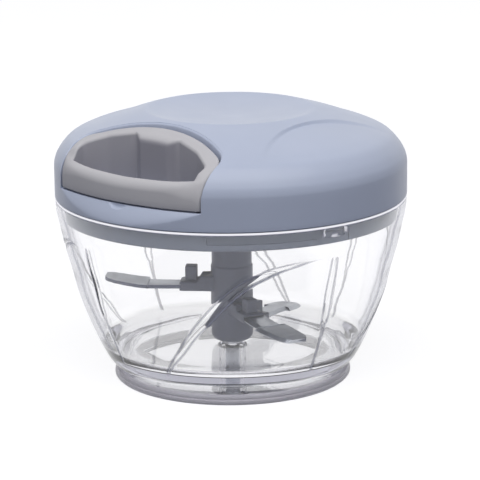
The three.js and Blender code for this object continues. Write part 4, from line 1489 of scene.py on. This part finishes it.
@dataclass(frozen=True)
class Dock:
    """Plan of the handle and of the pocket round it, as (across, along) outlines."""

    half: float = 31.4
    back: float = 33.0
    arc: float = 62.25
    corner: float = 5.0
    face: float = 59.2
    face_arc: float = 92.0
    clearance: float = 0.5
    liner: float = 1.8
    ledge: float = 72.7
    bar_inner: float = 55.2
    bar_arc: float = 113.0
    bar_ease: float = 9.0
    # The rest of the hole, from its front corner to the boss at its back: (across, along, ease)
    hole_side: tuple = (
        (27.3, 52.0, 0.6), (27.5, 46.0, 2.5), (20.0, 41.4, 8.0), (12.0, 39.2, 3.0), (9.8, 38.4, 1.4),
        (6.2, 41.0, 2.6),
    )

    def back_at(self, across: float, offset: float) -> float:
        """How far along the back edge lies, at a place across."""
        return self.back + self.arc - math.sqrt((self.arc + offset) ** 2 - across**2)

    def face_at(self, across: Array) -> Array:
        """How far along the handle's face lies, at a place across."""
        return self.face - self.face_arc + np.sqrt(self.face_arc**2 - across**2)

    def outline(self, offset: float, front: float, middle: float = 0.0, ease: float = 0.0) -> Array:
        """The handle's plan, grown by an offset and closed by an arc in front.

        Args:
            offset: How far it is grown.
            front: The radius of its front.
            middle: How far along the middle of that arc lies.
            ease: How far its front corners are rounded.

        Returns:
            The outline in x and y.
        """
        half = self.half + offset
        start = half - self.corner
        across = np.linspace(start, -start, 40)
        back = np.stack([across, [self.back_at(a, offset) for a in across]], axis=1)
        slope = start / math.sqrt((self.arc + offset) ** 2 - start**2)
        level = back[-1, 1] + slope * self.corner
        left = bend(back[-1], (-half, level), (-half, level + self.corner), 10)[1:]
        angle = math.asin(half / front) - ease / front
        face = np.linspace(-angle, angle, 60)
        arc = np.stack([front * np.sin(face), middle + front * np.cos(face)], axis=1)
        point = np.array([-half, middle + math.sqrt(front**2 - half**2)])
        corner = bend(point - [0, ease], point, arc[0], 6)[:-1] if ease else arc[:0]
        mirror, right = corner[::-1] * [-1, 1], left[::-1] * [-1, 1]
        return np.vstack([back, left, corner, arc, mirror, right[:-1]]) * [1, -1]

    def hole(self) -> Array:
        """The finger hole's plan, with the boss for the knot at its back, in x and y.

        Returns:
            The points, by two.
        """
        across = np.linspace(-0.9, 0.9, 11) * self.hole_side[0][0]
        start = self.bar_inner - self.bar_arc
        front = [(a, start + math.sqrt(self.bar_arc**2 - a * a), self.bar_ease) for a in across]
        mirrored = [(-a, b, c) for a, b, c in self.hole_side[::-1]]
        return rounded([*front, *self.hole_side, *mirrored], steps=9) * [1, -1]


@dataclass
class TopCover:
    """The lid's outer shell: dome, side wall and the pocket that the handle docks in."""

    finishes: Finishes
    dome: Dome
    dock: Dock
    edge: float = 66.38
    wall: float = 2.0
    columns: int = 330
    fillet: float = 0.8
    # The ledge falls by this many times its width, along a curve with this power
    ledge_fall: float = 2.0
    ledge_power: float = 1.4
    scoop_radius: float = 8.0
    scoop_depth: float = 3.5
    scoop_drop: float = 2.3
    # The eyelet's hole: its radius, and how far along it starts and ends
    guide_radius: float = 3.3
    guide_span: tuple = (29.6, 34.0)
    post_radius: float = 3.6
    post_low: float = 69.8
    post_high: float = 90.6
    # How far cutters stand out past the skin, sideways and above
    beyond: float = 2.0
    above: float = 4.0

    def skin(self) -> Piece:
        """The solid under the outer skin, with the lobes pressed into the dome.

        Returns:
            The closed piece.
        """
        radius = self.dome.radius
        side = spread(rounded([
            (0, self.edge, 0), (radius, self.edge, 0.2), (radius, self.dome.shoulder, 0),
        ], closed=False), 1.5)
        dome = self.dome.profile()
        fine = dome[:, 0] > self.dome.dish_radius - 1
        line = np.vstack([side[side[:, 0] > 60], spread(dome[fine], 0.4)[1:], spread(dome[~fine], 1.2)])
        turn = np.linspace(0, TAU, self.columns, endpoint=False)[None]
        points = around(turn, line[:, :1], line[:, 1:] - self.dome.lobes(turn, line[:, :1]))
        foot = np.broadcast_to([0, 0, self.edge], (1, self.columns, 3))
        return grid(np.concatenate([foot, points]), wrap_cols=True).outward().piece("top_cover_moulded")

    def hollow(self) -> Piece:
        """The room inside the shell, less the liner round the pocket and the backing of the scoop.

        Returns:
            The cutter's piece.
        """
        dome, dock = self.dome, self.dock
        line = spread(dome.profile(inset=self.wall), 2.5)
        low = [(0, self.edge - 1), (dome.radius - self.wall, self.edge - 1)]
        room = revolved(np.vstack([low, line]), 160).piece("room")
        far = dome.radius + self.beyond
        liner = spread(dock.outline(dock.clearance + dock.liner, far), 2.0, True)
        near = dome.radius - self.scoop_depth - self.wall / 2
        plan = oblong(-self.scoop_radius, self.scoop_radius, near, far) * [1, -1]
        low = dock.ledge - self.scoop_drop - self.wall / 2
        backing = block(spread(plan, 2.0, True), low, dock.ledge)
        liner = block(liner, dock.ledge - dock.liner, dome.top + self.above)
        change(room, Cut.TAKE, liner.piece("liner"), backing.piece("backing"))
        return room

    def pocket(self) -> Piece:
        """The cutter for the pocket, which flares at the skin so that the pocket's edge is eased.

        At an angle a it stands out by e(1 - cos a), at the height e(1 - sin a) below the skin.

        Returns:
            The cutter's piece.
        """
        dome, dock = self.dome, self.dock
        outline = spread(dock.outline(dock.clearance, dome.radius + self.beyond), 0.7, True)
        x, y = outline.T
        normal = square_to(outline)
        if np.sum(normal * (outline - outline.mean(axis=0))) < 0:
            normal = -normal
        skin = np.where(np.hypot(x, y) > dome.radius, dome.shoulder, dome.height(x, y))
        a = np.radians([0, 16, 32, 48, 64, 78])
        out = np.concatenate([[0, 0], self.fillet * (1 - np.cos(a)), [self.fillet * 0.8 + 1.0]])
        rise = self.fillet * (np.sin(a) - 1)
        low, high = dock.ledge, dome.top + self.above
        middle = np.maximum(skin - 3 * self.fillet, low + 0.5)
        levels = np.vstack([0 * x + low, middle, skin[None] + rise[:, None], 0 * x + high])
        rings = outline[None] + normal[None] * out[:, None, None]
        body = np.concatenate([rings, levels[..., None]], axis=-1)
        centre = outline.mean(axis=0)
        return capped(body, np.append(centre, low), np.append(centre, high)).piece("pocket")

    def ledge_round(self) -> Piece:
        """The cutter that rounds the ledge's outer edge, and fades at the pocket's two sides.

        The ledge is as wide as the gap e between the handle's face and the side wall. Its surface runs
        from the face down to the wall: the radius R - e(1 - s)^p at the height L - f e s. The face's
        radius at a turn is found in a few steps: r is the face's distance along, at r sin(turn)
        across, over cos(turn).

        Returns:
            The cutter's piece.
        """
        far = self.dome.radius
        half = math.asin((self.dock.half + self.dock.clearance) / far)
        turn = np.linspace(-half, half, 120)[:, None]
        face = np.full_like(turn, far)
        for _ in range(8):
            face = self.dock.face_at(face * np.sin(turn)) / np.cos(turn)
        e = np.maximum(far - face - 0.05, 0.02)
        s = np.linspace(0, 1, 11)[None]
        out, one = far + 1 + 0 * e, 1 + 0 * e
        radius = np.concatenate([far - e * (1 - s) ** self.ledge_power, out, out, far - e], axis=1)
        rise = np.concatenate([-self.ledge_fall * e * s, -self.ledge_fall * e, one, one], axis=1)
        return capped(around(turn, radius, self.dock.ledge + rise)).piece("ledge_round")

    def scoop(self) -> Piece:
        """The cutter for the finger scoop in the wall under the handle's face."""
        r, near, far = self.scoop_radius, self.dome.radius - self.scoop_depth, self.dome.radius
        cutter = Turned("scoop", (
            (0, near, 0), (r - 0.9, near, 1.1), (r, far + 0.6, 0), (r, far + 2, 0), (0, far + 2, 0),
        ), 96, closed=False)
        return cutter.surface().laid(self.dock.ledge + r - self.scoop_drop).piece("scoop")

    def build(self) -> None:
        """Cuts the shell from its skin and dresses it."""
        cover = self.skin()
        hole = upright_rod((0, 0), self.guide_radius, *self.guide_span, 48).laid(CORD_HEIGHT).piece("hole")
        change(cover, Cut.TAKE, self.hollow(), self.pocket(), hole, self.ledge_round(), self.scoop())
        for place in COVER_SCREWS.places():
            post = upright_rod(place, self.post_radius, self.post_low, self.post_high)
            change(cover, Cut.JOIN, post.piece("post"))
        shade(cover, 30)
        dress(cover, self.finishes.lid, Body.LID, "lid_plastic", "top_cover")


@dataclass
class LidBase:
    """The plate inside the cover with its skirt and bayonet tracks, and the seal in its groove."""

    finishes: Finishes
    bore: float = 5.2
    plate_low: float = 67.5
    plate_high: float = 69.5
    plate_radius: float = 60.0
    skirt_radius: float = 59.5
    skirt_foot: float = 59.0
    skirt_inner: float = 56.9
    skirt_low: float = 59.3
    groove_radius: float = 58.2
    groove_play: float = 0.3
    seal_low: float = 65.0
    seal_high: float = 66.3
    # A track: depth, ceiling, the locking stretch's floor, and lengths of entry and end along the ring
    track_inner: float = 58.7
    track_outer: float = 62.1
    track_high: float = 64.1
    track_low: float = 61.6
    entry_length: float = 13.4
    end_length: float = 8.4
    lock_degrees: float = 35.0

    def skirt(self) -> Piece:
        """Turns the plate and skirt, and cuts a track with its entry for each of the bowl's lugs.

        Returns:
            The base's piece.
        """
        low, high = self.seal_low - self.groove_play, self.seal_high + self.groove_play
        skirt = Turned("lid_base_moulded", (
            (self.bore, self.plate_low, 0.1), (self.skirt_inner, self.plate_low, 0.8),
            (self.skirt_inner, self.skirt_low, 0.4), (self.skirt_foot, self.skirt_low, 0.9),
            (self.skirt_radius, low, 0.3), (self.groove_radius, low, 0.1),
            (self.groove_radius, high, 0.1), (self.plate_radius, high, 0.2),
            (self.plate_radius, self.plate_high, 0.2), (self.bore, self.plate_high, 0.1),
        ), 240, steps=4, spacing=3.0).piece()
        entry, end = self.entry_length / LUG_RADIUS / 2, self.end_length / LUG_RADIUS
        lock = math.radians(self.lock_degrees)
        for turn in map(math.radians, LUG_TURNS):
            stretches = (
                (turn - entry, turn + entry, self.skirt_low - 1),
                (turn - lock - end, turn, self.track_low),
            )
            for start, stop, low in stretches:
                track = arc_block(self.track_inner, self.track_outer, start, stop, low, self.track_high)
                change(skirt, Cut.TAKE, track.piece("track"))
        shade(skirt, 35)
        return skirt

    def seal(self) -> Piece:
        """The seal: a ring with two soft lips that bear on the bowl."""
        low, high = self.seal_low, self.seal_high
        return Turned("lid_seal_lipped", (
            (58.5, low, 0.2), (59.5, low, 0.2), (59.8, low + 0.28, 0.2), (59.55, low + 0.65, 0.2),
            (59.8, high - 0.28, 0.2), (59.5, high, 0.2), (58.5, high, 0.2),
        ), 240, steps=4, sharp=60.0).piece()

    def build(self) -> None:
        """Makes and dresses the base and the seal."""
        dress(self.skirt(), self.finishes.skirt, Body.LID, "skirt_plastic", "lid_base")
        dress(self.seal(), self.finishes.seal, Body.SEAL, "seal_rubber", "lid_seal")


@dataclass
class PullHandle:
    """The D-shaped handle, the knot in it and the stretch of cord up to the lid."""

    finishes: Finishes
    dome: Dome
    dock: Dock
    low: float = 73.3
    wall_low: float = 75.5
    sink: float = 1.2
    side_sink: float = 0.7
    # Where the side's sink takes over, where it ends in front, and over what length
    side_place: float = 25.0
    front_place: float = 47.0
    fade: float = 6.0
    lean: float = 0.02
    columns: int = 520
    centre: float = 50.0
    corner_ease: float = 1.4
    front_ease: float = 2.8
    top_ease: float = 0.8
    hole_ease: float = 1.1
    boss_ease: float = 2.4
    low_ease: float = 0.5
    blend: float = 0.8
    # The cord's bore and the knot's chamber: how far along each lies, and the chamber's heights
    bore_radius: float = 1.3
    bore_span: tuple = (32.0, 37.2)
    chamber_half: float = 2.0
    chamber_span: tuple = (36.2, 40.2)
    chamber_heights: tuple = (72.0, 79.3)
    # The knot: its place along, its thickness, its size in plan and half its height
    knot_place: float = 38.2
    knot_radius: float = 0.62
    knot_size: float = 0.5
    knot_rise: float = 0.45
    cord_span: tuple = (31.8, 36.2)
    # Side view of the bar's top from the face back: (along, height)
    side: tuple = (
        (59.5, 80.9), (57.5, 81.4), (55.5, 81.8), (54.3, 82.0), (52.9, 82.6), (51.3, 83.9),
        (49.5, 86.6), (47.5, 90.5), (30.0, 125.0),
    )

    def top(self, x: Array, y: Array) -> Array:
        """The handle's top: the lower of the sunk dome and the side view, with a soft crossing.

        With h = 1/2 + (b - a)/2k held from 0 to 1, it is b(1-h) + a h - k h(1-h). The handle leans in
        its pocket as far as its play lets it, so the sunk dome falls by a share of x.

        Args:
            x: Places across.
            y: Places along, counted from the axis towards the back.

        Returns:
            The heights.
        """
        beside = smooth((np.abs(x) - self.side_place) / self.fade)
        before = smooth((-y - self.front_place) / self.fade)
        sink = (self.sink + (self.side_sink - self.sink) * beside) * (1 - beside * before)
        a = self.dome.height(x, y) - sink - self.lean * x
        b = np.interp(-y, *eased(self.side[::-1], 10).T)
        h = np.clip(0.5 + 0.5 * (b - a) / self.blend, 0, 1)
        return b * (1 - h) + a * h - self.blend * h * (1 - h)

    def hole_at(self, angle: Array) -> Array:
        """The places where rays from the finger hole's middle at given angles meet its wall.

        Args:
            angle: The angles, from +X towards +Y.

        Returns:
            The places, by two.
        """
        centre = np.array([0.0, -self.centre])
        dense = spread(self.dock.hole(), 0.25, True) - centre
        at = np.arctan2(dense[:, 1], dense[:, 0])
        order = np.argsort(at)
        radius = np.interp(angle, at[order], np.hypot(*dense[order].T), period=TAU)
        return centre + radius[:, None] * np.stack([np.cos(angle), np.sin(angle)], axis=1)

    def outer_at(self) -> Array:
        """The handle's outline in plan, as points an equal step apart.

        Returns:
            The points, by two.
        """
        dock = self.dock
        outline = dock.outline(0.0, dock.face_arc, dock.face - dock.face_arc, self.corner_ease)
        closed = np.vstack([outline, outline[:1]])
        length = np.concatenate([[0], np.cumsum(np.linalg.norm(np.diff(closed, axis=0), axis=1))])
        even = np.linspace(0, length[-1], self.columns, endpoint=False)
        return np.stack([np.interp(even, length, closed[:, k]) for k in (0, 1)], axis=1)

    def ring(self) -> Piece:
        """Carries an eased section round the ring, between its outline and the finger hole.

        At each angle round the hole's middle the section runs up the outer wall, over an edge eased by
        e(1 - cos a) inwards and e(1 - sin a) down, across the top and down the inner wall. Its lower
        edges are eased by f(1 - k)^2 inwards and f k^2 up, with k from 0 to 1.

        Returns:
            The handle's piece.
        """
        outer = self.outer_at()
        inner = self.hole_at(np.arctan2(outer[:, 1] + self.centre, outer[:, 0]))
        ray = unit(inner - outer)
        normal = square_to(outer)
        inward = unit(ray + normal * np.sign(np.sum(normal * ray, axis=1))[:, None])
        face = 1 - smooth((self.dock.face_at(outer[:, :1]) + outer[:, 1:]) / 3.0)
        boss = (1 - smooth((np.abs(inner[:, :1]) - 6.5) / 3.0)) * (inner[:, 1:] > -46)
        ease = inward * (self.top_ease + (self.front_ease - self.top_ease) * face)
        far_ease = ray * (self.hole_ease + (self.boss_ease - self.hole_ease) * boss)
        deep, far_deep = (np.linalg.norm(e, axis=1)[:, None] for e in (ease, far_ease))
        angles = np.linspace(0, math.pi / 2, 8)
        low, lift = self.low, self.low_ease
        start, end = outer + ease, inner - far_ease
        # The section's rings: each one's plan, with its height, or with how far it is below the top
        foot = [((inner + outer) / 2, low)]
        foot += [
            (outer + inward * lift * (1 - k) ** 2, low + lift * max(k, 0) ** 2)
            for k in (-1.0, 0, 0.5, 1.0)
        ]
        foot.append((outer, self.wall_low))
        over = [(outer + ease * (1 - math.cos(a)), deep * (1 - math.sin(a))) for a in angles]
        over += [(start + share * (end - start), 0.0) for share in (0.2, 0.4, 0.6, 0.8)]
        over += [
            (inner - far_ease * (1 - math.cos(a)), far_deep * (1 - math.sin(a)))
            for a in angles[::-1]
        ]
        down = [(inner, self.wall_low)]
        down += [(inner - ray * lift * (1 - k) ** 2, low + lift * k**2) for k in (1.0, 0.5, 0)]
        over = [(plan, self.top(*plan.T)[:, None] - drop) for plan, drop in over]
        rings = [np.hstack([p, np.broadcast_to(z, (len(p), 1))]) for p, z in foot + over + down]
        body = grid(np.array(rings), wrap_rows=True, wrap_cols=True).outward()
        return body.piece("pull_handle_moulded")

    def mark_hole_shade(self, obj: Piece) -> None:
        """Marks how far down the finger hole's wall each point lies, for the painted shade there.

        Args:
            obj: The handle's piece.
        """
        x, y, z = places_of(obj)
        wall = self.hole_at(np.arctan2(y + self.centre, x)) + [0, self.centre]
        beyond = np.hypot(x, y + self.centre) - np.hypot(*wall.T)
        near = 1 - smooth((beyond - 0.3) / 0.8)
        # Painted shade: the share of the darker inner colour, deep down the hole's wall
        mark(obj, "inside", near * smooth((self.top(x, y) - z - 0.2) / 1.5))

    def knot(self) -> Piece:
        """The knot: a tube along x = a (cos t + cos 2t), y = a (sin t - sin 2t), z = -b sin 3t.

        Returns:
            The knot's piece.
        """
        t = np.linspace(0, TAU, 97)[:-1]
        a, b = self.knot_size, self.knot_rise
        path = np.stack([
            a * (np.cos(t) + np.cos(2 * t)), a * (np.sin(t) - np.sin(2 * t)), -b * np.sin(3 * t),
        ], axis=1)
        tube = swept(path, self.knot_radius, (0.3, 0.2, 0.93), closed=True)
        return tube.moved(0, -self.knot_place, CORD_HEIGHT).outward().piece("cord_knot_tied", 180)

    def free_cord(self) -> None:
        """Makes the stretch from the eyelet to the knot, which lengthens as the handle is pulled."""
        along = np.linspace(*self.cord_span, 41)
        path = np.stack([0 * along, -along, 0 * along + CORD_HEIGHT], axis=1)
        cord = swept(path, CORD_RADIUS).piece("pull_cord_braided", 60)
        dress(cord, self.finishes.free_cord, None, "cord_nylon", "pull_cord")
        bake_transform(cord)

    def build(self) -> None:
        """Makes the handle, cuts the knot's chamber and the cord's bore, and ties the cord in."""
        f = self.finishes
        handle = self.ring()
        (near, far), half = self.chamber_span, self.chamber_half
        chamber = block(oblong(-half, half, -far, -near), *self.chamber_heights)
        bore = upright_rod((0, 0), self.bore_radius, *self.bore_span).laid(CORD_HEIGHT)
        change(handle, Cut.TAKE, chamber.piece("chamber"), bore.piece("bore"))
        self.mark_hole_shade(handle)
        shade(handle, 32)
        dress(handle, f.grip, Body.HANDLE, "grip_plastic", "pull_handle")
        dress(self.knot(), f.cord, Body.HANDLE, "cord_nylon", "cord_knot")
        self.free_cord()


@dataclass
class Mechanism:
    """What works inside the lid: eyelet, reel, cords, spring, cap, spindle, bush and screws."""

    finishes: Finishes
    # The wound cord: the middle of its turns, the core's radius, and the heights of turns and ends
    wound_radius: float = 16.7
    core_radius: float = 14.8
    wound_heights: tuple = (75.2, 77.0, 78.8)
    wound_ends: tuple = (74.3, 79.7)
    # The lead: where it leaves the reel, where it bends to the eyelet, and the stretch in the eyelet
    lead_start: float = 18.8
    lead_bend: float = 27.5
    lead_in: float = 29.6
    lead_end: float = 31.45
    # The spring: turns, first and last radius, half the strip's thickness, bottom and top
    spring_turns: float = 4.5
    spring_inner: float = 5.55
    spring_outer: float = 19.15
    spring_half: float = 0.25
    spring_low: float = 81.7
    spring_high: float = 85.7
    # The cap's window for the cord: radii, turns in degrees and heights
    window_radii: tuple = (23.1, 26.7)
    window_degrees: tuple = (-8.0, 42.0)
    window_heights: tuple = (72.0, 82.0)
    ear_heights: tuple = (69.8, 71.8)
    ear_hole: float = 1.4
    dog_heights: tuple = (52.0, 60.0)
    # The eyelet has a bell mouth at both ends
    guide: Turned = Turned("cord_guide_turned", (
        (1.4, 30.3, 0.5), (1.4, 32.25, 0.4), (3.0, 32.25, 0.2), (3.0, 30.3, 0.1), (4.6, 30.3, 0.2),
        (4.6, 29.3, 0.3), (1.4, 29.3, 0.5),
    ), 48, sharp=45.0)
    # Two flanges with eased rims, the core between them and the spring's cup on top
    reel: Turned = Turned("cord_reel_moulded", (
        (3.7, 72.6, 0.2), (23.5, 72.6, 0.6), (23.5, 74.0, 0.4), (14.5, 74.0, 0.3), (14.5, 80.0, 0.3),
        (23.5, 80.0, 0.4), (23.5, 81.4, 0.6), (21.4, 81.4, 0.2), (21.4, 86.0, 0.4), (20.0, 86.0, 0.4),
        (20.0, 81.4, 0.5), (2.3, 81.4, 0.2), (2.3, 77.3, 0.1), (3.7, 77.3, 0.1),
    ), 96, steps=4)
    cap_wall: Turned = Turned("mechanism_cap_moulded", (
        (2.3, 81.7, 0.1), (5.0, 81.7, 0.3), (5.0, 86.3, 0.4), (24.1, 86.3, 0.8), (24.1, 69.8, 0.2),
        (25.7, 69.8, 0.2), (25.7, 87.9, 1.2), (2.3, 87.9, 0.2),
    ), 96, steps=4)
    ear: Corners = ((24.5, -4, 0), (35.0, -4, 3.5), (35.0, 4, 3.5), (24.5, 4, 0))
    # The spindle has a key, a flange and a shaft, and its dog turns the hub
    shaft: Turned = Turned("drive_spindle_moulded", (
        (0, 59.0, 0), (3.2, 59.0, 0.2), (3.2, 70.9, 0.2), (8.0, 70.9, 0.3), (8.0, 72.3, 0.3),
        (3.4, 72.3, 0.2), (3.4, 77.0, 0.4), (0, 77.0, 0),
    ), 48, closed=False, steps=4)
    dog: Corners = ((-5.5, -1.3, 0.4), (5.5, -1.3, 0.4), (5.5, 1.3, 0.4), (-5.5, 1.3, 0.4))
    bush: Turned = Turned("spindle_bush_turned", (
        (3.5, 67.5, 0.2), (4.9, 67.5, 0.2), (4.9, 69.8, 0.1), (8.0, 69.8, 0.2), (8.0, 70.6, 0.2),
        (3.5, 70.6, 0.2),
    ), 48, steps=4)
    axle: Turned = Turned("reel_axle_turned", (
        (0, 77.6, 0), (2, 77.6, 0.3), (2, 87.9, 0.3), (0, 87.9, 0),
    ), 32, closed=False)

    def wound(self) -> Piece:
        """The cord on the reel: turns side by side, as scallops on a ring.

        Returns:
            The cord's piece.
        """
        a = np.linspace(-math.pi / 2, math.pi / 2, 9)
        turns = [
            np.stack([self.wound_radius + CORD_RADIUS * np.cos(a), z + CORD_RADIUS * np.sin(a)], axis=1)
            for z in self.wound_heights
        ]
        low, high = self.wound_ends
        line = np.vstack([[(self.core_radius, low)], *turns, [(self.core_radius, high)]])
        return revolved(line, 120).piece("wound_cord_turns", 60)

    def lead(self) -> Piece:
        """The cord from the reel through the cap's window to the eyelet.

        Returns:
            The cord's piece.
        """
        turn = math.acos(self.lead_start / self.lead_bend)
        start = around(turn, self.lead_start, CORD_HEIGHT)
        places = (self.lead_bend, self.lead_in, self.lead_end)
        corner, mouth, end = (np.array([0, -along, CORD_HEIGHT]) for along in places)
        near = start + 0.8 * (corner - start)
        path = np.vstack([
            np.linspace(start, near, 10)[:-1], bend(near, corner, mouth, 10)[:-1],
            np.linspace(mouth, end, 4),
        ])
        return swept(path, CORD_RADIUS).piece("lead_cord_braided", 60)

    def spring(self) -> Piece:
        """The recoil spring: a flat strip wound outwards, r = r0 + k t, from the arbor to the cup.

        Returns:
            The spring's piece.
        """
        t = np.linspace(0, self.spring_turns, 433)[:, None]
        middle = self.spring_inner + t / self.spring_turns * (self.spring_outer - self.spring_inner)
        half = self.spring_half
        across, height = oblong(-half, half, self.spring_low, self.spring_high).T
        return capped(around(TAU * t, middle + across, height)).piece("recoil_spring_wound")

    def cap(self) -> Piece:
        """The cap over the reel, with a window for the cord and three screw ears.

        Returns:
            The cap's piece.
        """
        cap = self.cap_wall.piece()
        ear = block(spread(rounded(self.ear, steps=8), 1.0, True), *self.ear_heights, 0.3)
        for degrees, place in zip(CAP_SCREWS.turns(), CAP_SCREWS.places()):
            change(cap, Cut.JOIN, ear.turned(math.radians(degrees - 90)).piece("ear"))
            change(cap, Cut.TAKE, upright_rod(place, self.ear_hole, 69.0, 73.0).piece("hole"))
        turns = np.radians(self.window_degrees)
        window = arc_block(*self.window_radii, *turns, *self.window_heights)
        change(cap, Cut.TAKE, window.piece("window"))
        shade(cap, 35)
        return cap

    def spindle(self) -> Piece:
        """The drive spindle, with the dog that turns the hub.

        Returns:
            The spindle's piece.
        """
        spindle = self.shaft.piece()
        dog = block(spread(rounded(self.dog, steps=4), 0.8, True), *self.dog_heights, 0.3)
        change(spindle, Cut.JOIN, dog.piece("dog"))
        shade(spindle, 35)
        return spindle

    def build(self) -> None:
        """Makes and dresses the mechanism's pieces."""
        f = self.finishes
        guide = self.guide.surface().laid(CORD_HEIGHT).piece(self.guide.name, self.guide.sharp)
        dress(guide, f.white, Body.LID, "white_plastic", "cord_guide")
        dress(self.wound(), f.cord, Body.REEL, "cord_nylon", "wound_cord")
        dress(self.lead(), f.cord, Body.LID, "cord_nylon", "lead_cord")
        dress(self.spring(), f.spring, Body.REEL, "spring_steel", "recoil_spring")
        dress(self.reel.piece(), f.white, Body.REEL, "white_plastic", "cord_reel")
        dress(self.cap(), f.skirt, Body.LID, "skirt_plastic", "mechanism_cap")
        dress(self.spindle(), f.white, Body.REEL, "white_plastic", "drive_spindle")
        dress(self.bush.piece(), f.white, Body.LID, "white_plastic", "spindle_bush")
        dress(self.axle.piece(), f.pin, Body.LID, "steel", "reel_axle")
        for screws in (COVER_SCREWS, CAP_SCREWS):
            for number, place in enumerate(screws.places(), 1):
                node = f"{screws.name}_{number}"
                dress(screws.piece(f"{node}_pan", place), f.screw, Body.LID, "steel", node)


# Studio


@dataclass
class Studio:
    """White floor and background, a broad soft light above, and the photograph's camera."""

    azimuth: float = 40.0
    elevation: float = 14.0
    distance: float = 0.9
    aim: tuple = (0.0, 0.0, 0.05)
    lens: float = 189.6
    sensor: float = 36.0
    roll: float = 0.6
    shift: tuple = (0.0179, -0.0092)
    clip: tuple = (0.01, 20.0)
    key_azimuth: float = 38.0
    key_elevation: float = 66.0
    key_distance: float = 1.4
    key_size: tuple = (2.0, 1.0)
    key_power: float = 21.0
    ambient: float = 0.11
    glow: float = 0.88
    floor_half: float = 3000.0
    floor_height: float = -0.02

    def toward(self, azimuth: float, elevation: float) -> Vector:
        """The direction from the object to a place round it, in degrees from the handle's side."""
        a, e = math.radians(azimuth), math.radians(elevation)
        return Vector((math.sin(a) * math.cos(e), -math.cos(a) * math.cos(e), math.sin(e)))

    def aimed(self, data: bpy.types.ID, back: Vector, distance: float, roll: float = 0.0) -> Piece:
        """Places a camera or a light so that it faces the object.

        Args:
            data: The camera's or light's data.
            back: The direction from the object to it.
            distance: How far it stands from the aim.
            roll: How far it is rolled, in degrees.

        Returns:
            Its object.
        """
        obj = bpy.data.objects.new(data.name, data)
        obj.location = Vector(self.aim) + back * distance
        facing = (-back).to_track_quat("-Z", "Y").to_matrix()
        obj.rotation_euler = (facing @ Matrix.Rotation(math.radians(-roll), 3, "Z")).to_euler()
        bpy.context.scene.collection.objects.link(obj)
        return obj

    def camera(self) -> None:
        """Places the camera, rolled and shifted as the photograph shows."""
        data = bpy.data.cameras.new("photo_camera")
        data.lens, data.sensor_width = self.lens, self.sensor
        data.shift_x, data.shift_y = self.shift
        data.clip_start, data.clip_end = self.clip
        back = self.toward(self.azimuth, self.elevation)
        bpy.context.scene.camera = self.aimed(data, back, self.distance, self.roll)

    def light(self) -> None:
        """Places the one lamp, a broad soft light."""
        data = bpy.data.lights.new("key_softbox", "AREA")
        data.shape, data.energy = "RECTANGLE", self.key_power
        data.size, data.size_y = self.key_size
        self.aimed(data, self.toward(self.key_azimuth, self.key_elevation), self.key_distance)

    def seen(self, tree: Tree) -> Socket:
        """1 for rays that carry a picture: from the camera, off gloss or through clear plastic.

        Args:
            tree: The node tree.

        Returns:
            The share's socket.
        """
        path = add(tree, "LightPath").node.outputs
        total = path["Is Camera Ray"]
        for name in ("Is Glossy Ray", "Is Transmission Ray"):
            total = add(tree, "Math", {"operation": "MAXIMUM"}, _0=total, _1=path[name])
        return total

    def world(self) -> None:
        """A background that shows white and gives a low, even fill light."""
        world = bpy.data.worlds.new("studio_world")
        bpy.context.scene.world = world
        world.use_nodes = True
        tree = world.node_tree
        tree.nodes.clear()
        white = add(tree, "Background", Color=colour("#ffffff"), Strength=1.0)
        fill = add(tree, "Background", Color=colour("#d2dbff"), Strength=self.ambient)
        mix = add(tree, "MixShader", _0=self.seen(tree), _1=fill, _2=white)
        add(tree, "OutputWorld", Surface=mix)

    def floor(self) -> None:
        """A pale table that shows white but keeps the chopper's soft shadow."""
        half = self.floor_half
        corners = np.array([[(-half, -half), (half, -half)], [(-half, half), (half, half)]])
        points = np.concatenate([corners, np.full((2, 2, 1), self.floor_height)], axis=2)
        floor = grid(points).piece("studio_floor")
        material, tree = blank("painted_white_table")
        diffuse = add(tree, "BsdfDiffuse", Color=colour("#808085"), Roughness=1.0)
        glow = add(tree, "Emission", Color=colour("#ffffff"), Strength=self.glow)
        both = add(tree, "AddShader", _0=diffuse, _1=glow)
        dull = add(tree, "BsdfDiffuse", Color=colour("#868a94"), Roughness=1.0)
        ready(material, Surface=add(tree, "MixShader", _0=self.seen(tree), _1=dull, _2=both))
        floor.data.materials.append(material)

    def build(self) -> None:
        """Sets the whole studio up."""
        self.camera()
        self.world()
        self.floor()
        self.light()
        scene = bpy.context.scene
        scene.view_settings.view_transform = "Standard"


def main() -> None:
    """Builds the studio and the chopper."""
    logging.basicConfig(level=logging.INFO, format="%(message)s")
    Studio().build()
    finishes, dome, dock = Finishes(), Dome(), Dock()
    Bowl(finishes).build()
    BladeUnit(finishes).build()
    LidBase(finishes).build()
    TopCover(finishes, dome, dock).build()
    PullHandle(finishes, dome, dock).build()
    Mechanism(finishes).build()


if __name__ == "__main__":
    main()
